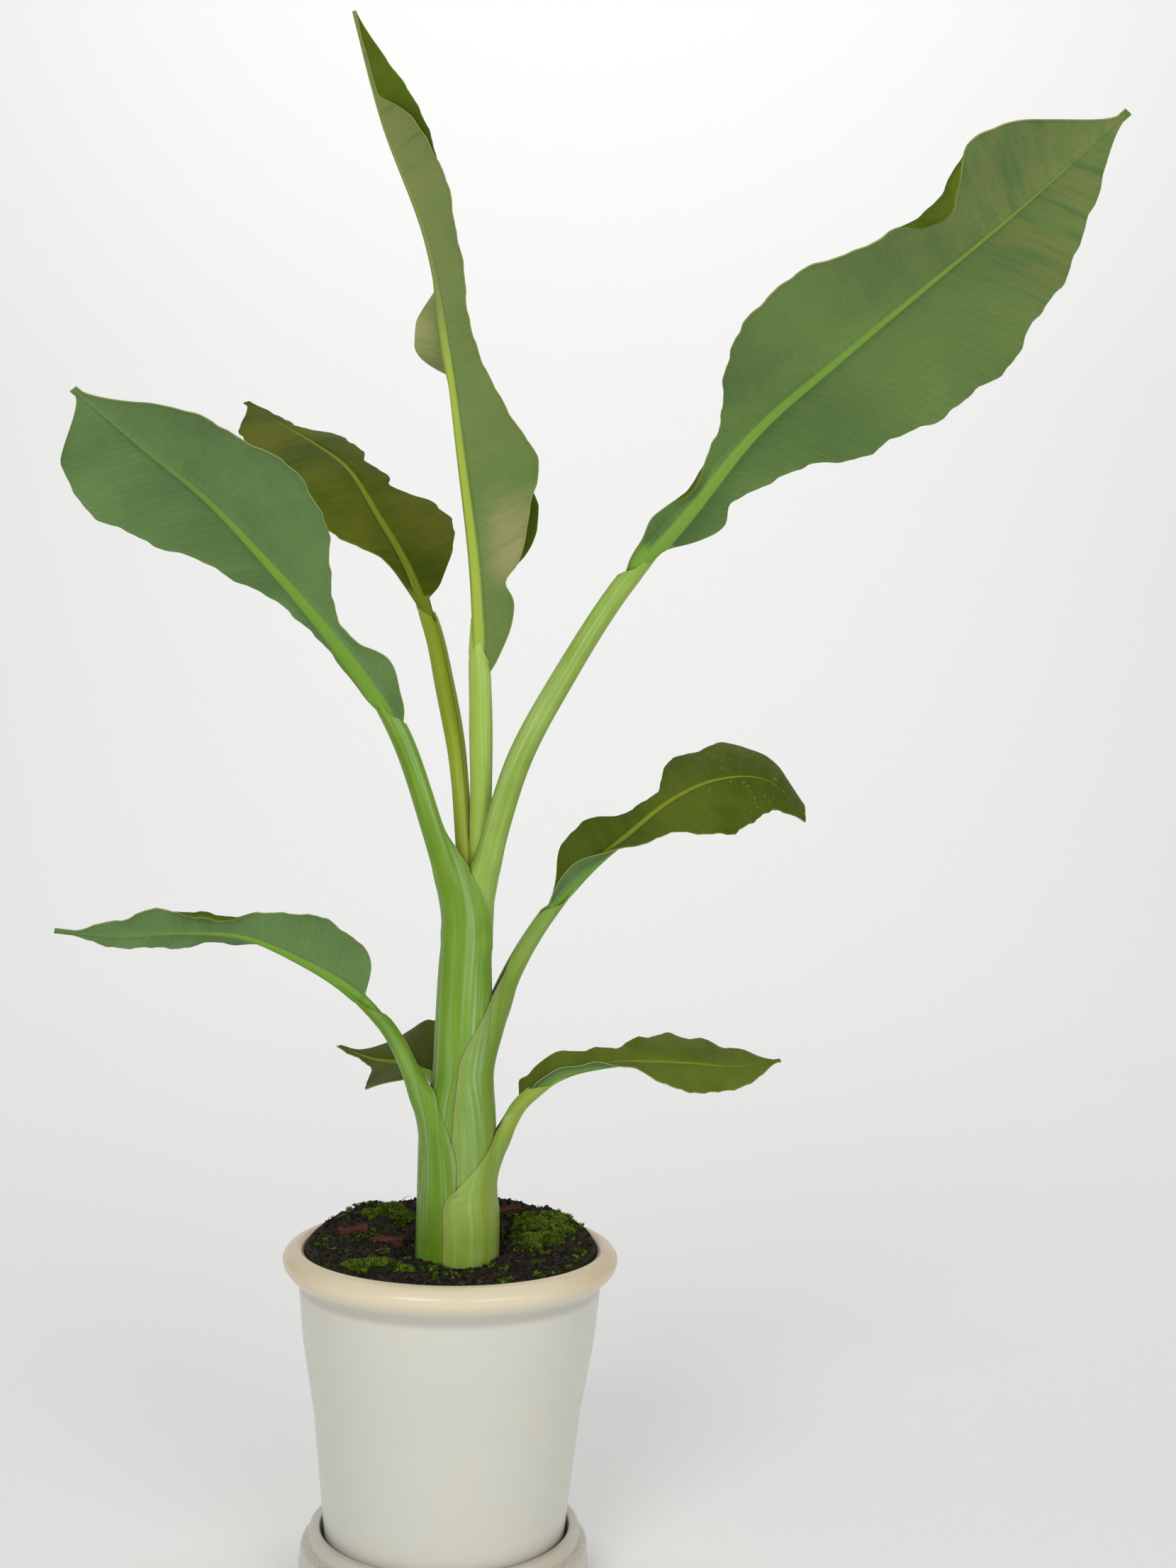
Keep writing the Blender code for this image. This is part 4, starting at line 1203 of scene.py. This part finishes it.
def make_sheath(name, leaf):
    """Sheath that wraps the stem and narrows into a channelled stalk."""
    place, heading, stalk_r, sunk = sheath_path(leaf)
    z = place[:, 2]
    share = ease(z, *leaf["parting"])
    late = [ease(z, *(leaf["margins"] + lag)) for lag in leaf["lag"]]
    half, lean = stem_at(z)
    wrap_r = half - LAYER * outer_layers(leaf["layer"], z)
    axis = np.stack([lean, 0 * z, z], axis=1)
    side, upper = frames(heading, leaf["bearing"])
    out, level = compass(math.radians(leaf["bearing"]))
    stalk_r = stalk_r + SHEATH_SWELL * 4 * share * (1 - share)
    run = run_along(place)
    foot = run[-TAIL_ROWS]
    stalk_span = mix(math.radians(leaf["span"]), STALK_END_SPAN, ease(sunk, 0.0, 0.55))
    stalk_wall = mix(STALK_WALL, STALK_END_WALL, sunk) * stalk_r
    outer, inner, margin, across = [], [], [], []
    for k in range(len(z)):
        columns = []
        for sign, reach in zip((1, -1), leaf["reach"]):
            length = mix(math.radians(reach), stalk_span[k], share[k]) * mix(wrap_r[k], stalk_r[k], share[k])
            edge = [length - m for m in SHEATH_MARGIN]
            dist = np.concatenate([np.linspace(0, edge[-1], SHEATH_STEPS + 1)[:-1], edge[::-1]])
            columns.append((sign * dist / length, length - dist, sign * dist))
        u, edge_far, beside = (np.concatenate([right[:0:-1], left]) for left, right in zip(*columns))
        w = mix(share[k], np.where(u > 0, late[0][k], late[1][k]), np.abs(u) ** 2)
        wrap = u * np.radians(np.where(u > 0, *leaf["reach"]))
        stalk = u * stalk_span[k]
        thin = 1 - np.abs(u) ** 3
        wall = SHEATH_EDGE + (SHEATH_THICK - SHEATH_EDGE) * thin
        solid = STALK_EDGE + (stalk_wall[k] - STALK_EDGE) * thin
        ray = np.outer(np.cos(stalk), -upper[k]) * STALK_DEPTH + np.outer(np.sin(stalk), side[k])
        for skin, wrap_in, stalk_in in ((outer, 0, 0 * solid), (inner, wall, solid)):
            limb = place[k] + ray * (stalk_r[k] - stalk_in)[:, None]
            skin.append(swept(axis[k], out, level, wrap, wrap_r[k] - wrap_in, limb, w))
        margin.append(edge_far)
        across.append(beside)
    inner = surface.clear(np.array(inner), LAID_GAP)
    outer = surface.clear(np.array(outer), LAID_GAP + SHEATH_EDGE)
    surface.lay(outer)
    rings = np.concatenate([outer, inner[:, ::-1]], axis=1)
    mesh = ring_body(name, rings)
    fade = ease(run, foot + 0.004, foot - 0.03)[:, None]
    rim = np.clip(1 - both_skins(margin) / SHEATH_MARGIN[-1], 0, 1) * fade
    hollow = np.concatenate([0 * np.array(margin), 0 * np.array(margin) + 1], axis=1)
    point_values(mesh, rim=rim, hollow=hollow)
    lay_uv(mesh, both_skins(across), np.repeat(run[:, None], rings.shape[1], axis=1))
    return smooth_body(name, mesh, stalks[leaf["stalk"]])


# blades


def widths_of(leaf, side, rows, rib_r):
    """Half width along the blade, from a round shoulder at the stalk to a thin point."""
    width = smooth(leaf[side], rows / (1 - leaf["spike"]))[:, 0]
    size, turns, phase = leaf["scallop"]
    beat = rows * turns * 2 * math.pi + phase + (0.0 if side == "left" else 2.1)
    uneven = np.sin(beat) + 0.7 * np.sin(2.37 * beat + 1.0) + 0.25 * np.sin(5.1 * beat)
    width = width + size / MM * uneven * ease(rows, 0.12, 0.3) * ease(rows, 0.97, 0.88)
    for where, height, spread in leaf["bumps_" + side]:
        width = width + bell(rows, where, spread) * height / MM
    foot, rise = leaf["shoulder_" + side]
    swell = ease(rows, foot, foot + rise)
    narrow = rib_r * (0.88 + 0.48 * np.minimum(rows, 0) / -rows[0])
    shaped = mix(narrow, np.maximum(width, narrow), np.sqrt(1 - (1 - swell) ** 2))
    return np.maximum(shaped, mix(LEAST_HALF, TIP_HALF, ease(rows, 0.93, 1.0)))


def half_section(leaf, side, rows, length, place, side_way, upper, rib_r):
    """Upper and lower points, rib and rim shares and distances of a half blade, from rib to margin."""
    sign = 1 if side == "left" else -1
    width = widths_of(leaf, side, rows, rib_r)
    lift = smooth(leaf["lift_" + side], rows)[:, 0]
    for where, turn, spread in leaf["turns_" + side]:
        lift = lift + bell(rows, where, spread) * turn
    lift = np.radians(lift)[:, None]
    flap = np.full(len(rows), MARGIN_STRIP)
    roll = np.zeros(len(rows))
    for where, spread, long, angle in leaf["flaps_" + side]:
        strength = bell(rows, where, spread)
        flap += long / MM * strength
        roll += math.radians(angle) * ease(strength, 0.02, 0.55)
    chord = side_way * sign * np.cos(lift) + upper * np.sin(lift)
    normal = upper * np.cos(lift) - side_way * sign * np.sin(lift)
    strip = width - MARGIN_STRIP
    rib = np.minimum(rib_r, 0.86 * strip)
    size, beats, phase = leaf["wave"]
    ripple = size / MM * np.sin(rows * beats * 2 * math.pi + phase + (0.0 if sign > 0 else 1.7))
    ripple = ripple * ease(rows, 0.05, 0.2) * (1 - ease(rows, 0.85, 1.0))
    half = BLADE_THICK / 2
    columns = []
    inner = [rib * q for q in RIB_STEPS]
    outer = [rib + (strip - rib) * q for q in np.linspace(0, 1, BLADE_COLUMNS + 1)[1:]]
    for d in inner + outer:
        u = d / width
        arch = BLADE_ARCH * width * 4 * u * (1 - u)
        middle = place + chord * d[:, None] + normal * (arch + ripple * u**2)[:, None]
        bulge = RIB_BULGE * rib * np.sqrt(np.clip(1 - (d / rib) ** 2, 0, 1))
        channel = RIB_CHANNEL * rib * (1 - np.clip(d / rib, 0, 1) ** 2)
        toward = unit(mix(upper, normal, ease(np.clip(d / rib_r, 0, 1), 0.0, 1.0)[:, None]))
        pleat = PLEAT * np.sin((rows * length - d * VEIN_SLANT) / PLEAT_PITCH * 2 * math.pi)
        pleat = pleat * ease(d - rib, 0.0, 0.01) * (1 - u**4)
        top = middle + toward * (half - channel + pleat)[:, None]
        under = middle - toward * (half + bulge - pleat)[:, None]
        rib_share = np.maximum(np.clip(1.3 - d / rib, 0, 1), ease(width, 2.3 * rib_r, 1.0 * rib_r))
        columns.append((top, under, rib_share, 0 * d, d))
    corner = place + chord * strip[:, None] + normal * (ripple * (strip / width) ** 2)[:, None]
    step = flap / FLAP_STEPS
    for k in range(1, FLAP_STEPS + 1):
        turn = (roll * (k / FLAP_STEPS))[:, None]
        corner = corner + (chord * np.cos(turn) + normal * np.sin(turn)) * step[:, None]
        facing = (normal * np.cos(turn) - chord * np.sin(turn)) * (half if k < FLAP_STEPS else 0.6 * half)
        rim = ease(k, 0, FLAP_STEPS) * np.where(flap < 2 * MARGIN_STRIP, 1.0, k >= FLAP_STEPS)
        columns.append((corner + facing, corner - facing, 0 * flap, rim, strip + step * k))
    return [np.array(values) for values in zip(*columns)]


def make_blade(name, leaf):
    """Thin blade with its rib, two skins and a material for each."""
    points = leaf["points"]
    first = leaf["stalk_points"] - 1
    last = len(points) - 1
    length = rib_line(points, first, last, 8)[2]
    lead = BLADE_LEAD / length * (last - first)
    place, heading, whole = rib_line(points, first - lead, last, BLADE_ROWS)
    rows = 1 - whole / length * np.linspace(1, 0, BLADE_ROWS)
    side_way, upper = frames(heading, leaf["bearing"])
    stalk_r = leaf["stalk_half"][-1]
    place = place + upper * (FOOT_RISE * stalk_r * np.minimum(rows, 0) / -rows[0])[:, None]
    grown = mix(FOOT_SHARE, 1.0, ease(rows * length, -BLADE_LEAD, BLADE_GROWN))
    rib_r = stalk_r * grown * (1 - np.maximum(rows, 0)) ** leaf["rib_fall"] + 0.0007 * grown
    left = half_section(leaf, "left", rows, length, place, side_way, upper, rib_r)
    right = half_section(leaf, "right", rows, length, place, side_way, upper, rib_r)
    right[4] = -right[4]
    # values from the left margin to the right one, without doubling the rib
    top, under, ribs, rims, dist = (
        np.concatenate([a[:0:-1], (a[:1] + b[:1]) / 2, b[1:]]) for a, b in zip(left, right)
    )
    wide = len(top)
    mesh = ring_body(name, np.concatenate([top, under[::-1]]).transpose(1, 0, 2))
    far = np.repeat(np.maximum(rows, 0)[:, None], 2 * wide, axis=1)
    point_values(mesh, rib=both_skins(ribs.T), rim=both_skins(rims.T), far=far)
    dist = both_skins(dist.T)
    lay_uv(mesh, dist, (rows * length)[:, None] - np.abs(dist) * VEIN_SLANT)
    kinds = np.ones(len(mesh.polygons), np.int32)
    faces = np.arange((BLADE_ROWS - 1) * 2 * wide).reshape(BLADE_ROWS - 1, 2 * wide)
    kinds[1 + faces[:, : wide - 1].ravel()] = 0
    mesh.polygons.foreach_set("material_index", kinds)
    return smooth_body(name, mesh, skins[leaf["upper"]], skins[leaf["under"]])


# scene


def make_camera():
    forward = np.array([0.0, math.cos(CAMERA_PITCH), math.sin(CAMERA_PITCH)])
    level = np.array([1.0, 0.0, 0.0])
    rise = np.cross(level, forward)
    right = level * math.cos(CAMERA_ROLL) + rise * math.sin(CAMERA_ROLL)
    up = rise * math.cos(CAMERA_ROLL) - level * math.sin(CAMERA_ROLL)
    data = bpy.data.cameras.new("camera")
    data.lens = FOCAL_MM
    data.sensor_width = 36.0
    camera = add_object("camera", data)
    camera.matrix_world = Matrix([*zip(right, up, -forward, CAMERA_PLACE), (0, 0, 0, 1)])
    bpy.context.scene.camera = camera


def make_light(name, place, target, size, power):
    data = bpy.data.lights.new(name, "AREA")
    data.shape = "RECTANGLE"
    data.size, data.size_y = size
    data.energy = power
    obj = add_object(name, data)
    obj.location = place
    obj.rotation_mode = "QUATERNION"
    obj.rotation_quaternion = (Vector(target) - Vector(place)).to_track_quat("-Z", "Y")


def make_studio():
    """Pale floor that sweeps up into a backdrop, lit softly from the camera's side."""
    bend = [(2.2 + 1.6 * math.sin(a), 1.6 - 1.6 * math.cos(a)) for a in np.linspace(0, math.pi / 2, 25)]
    path = [(-4.0, 0.0), (1.0, 0.0)] + bend + [(3.8, 6.0)]
    verts = [(x, y, z - 0.0005) for x in (-7.0, 7.0) for y, z in path]
    count = len(path)
    mesh = new_mesh("floor", verts, [(k, count + k, count + k + 1, k + 1) for k in range(count - 1)])
    floor = add_object("floor", mesh)
    shade_smooth(floor)
    mesh.materials.append(plain("floor_pale", (0.90, 0.90, 0.89), 0.9, 0.1))
    world = bpy.data.worlds.new("studio")
    world.use_nodes = True
    back = world.node_tree.nodes["Background"]
    back.inputs["Color"].default_value = (1.0, 1.0, 1.0, 1.0)
    back.inputs["Strength"].default_value = WORLD_LIGHT
    bpy.context.scene.world = world
    for light in LIGHTS:
        make_light(*light)
    bpy.context.scene.view_settings.view_transform = "Standard"


skins = {}
for label, look in UPPER_LOOKS.items():
    skins[label] = leaf_finish(
        "upper_" + label, rib=tone(124, 136, 40), shine=0.04, depth=0.00025, rib_wide=0.7, **look
    )
for label, look in UNDER_LOOKS.items():
    skins[label] = leaf_finish("under_" + label, shine=0.15, depth=0.0004, **look)
stalks = {key: stalk_finish(name, *(tone(*c) for c in tones)) for key, (name, *tones) in STALK_TONES.items()}

make_camera()
make_studio()
make_saucer()
make_pot()
make_soil()
make_moss()
make_crumbs()
make_bark()
surface = StemSurface()
make_core()
for leaf_name, leaf in sorted(LEAVES.items(), key=lambda item: -item[1]["layer"]):
    settle(make_sheath(leaf_name + "_sheath", leaf), "stalk", leaf_name + "_stalk")
    settle(make_blade(leaf_name + "_leaf", leaf), "blade", leaf_name + "_blade")
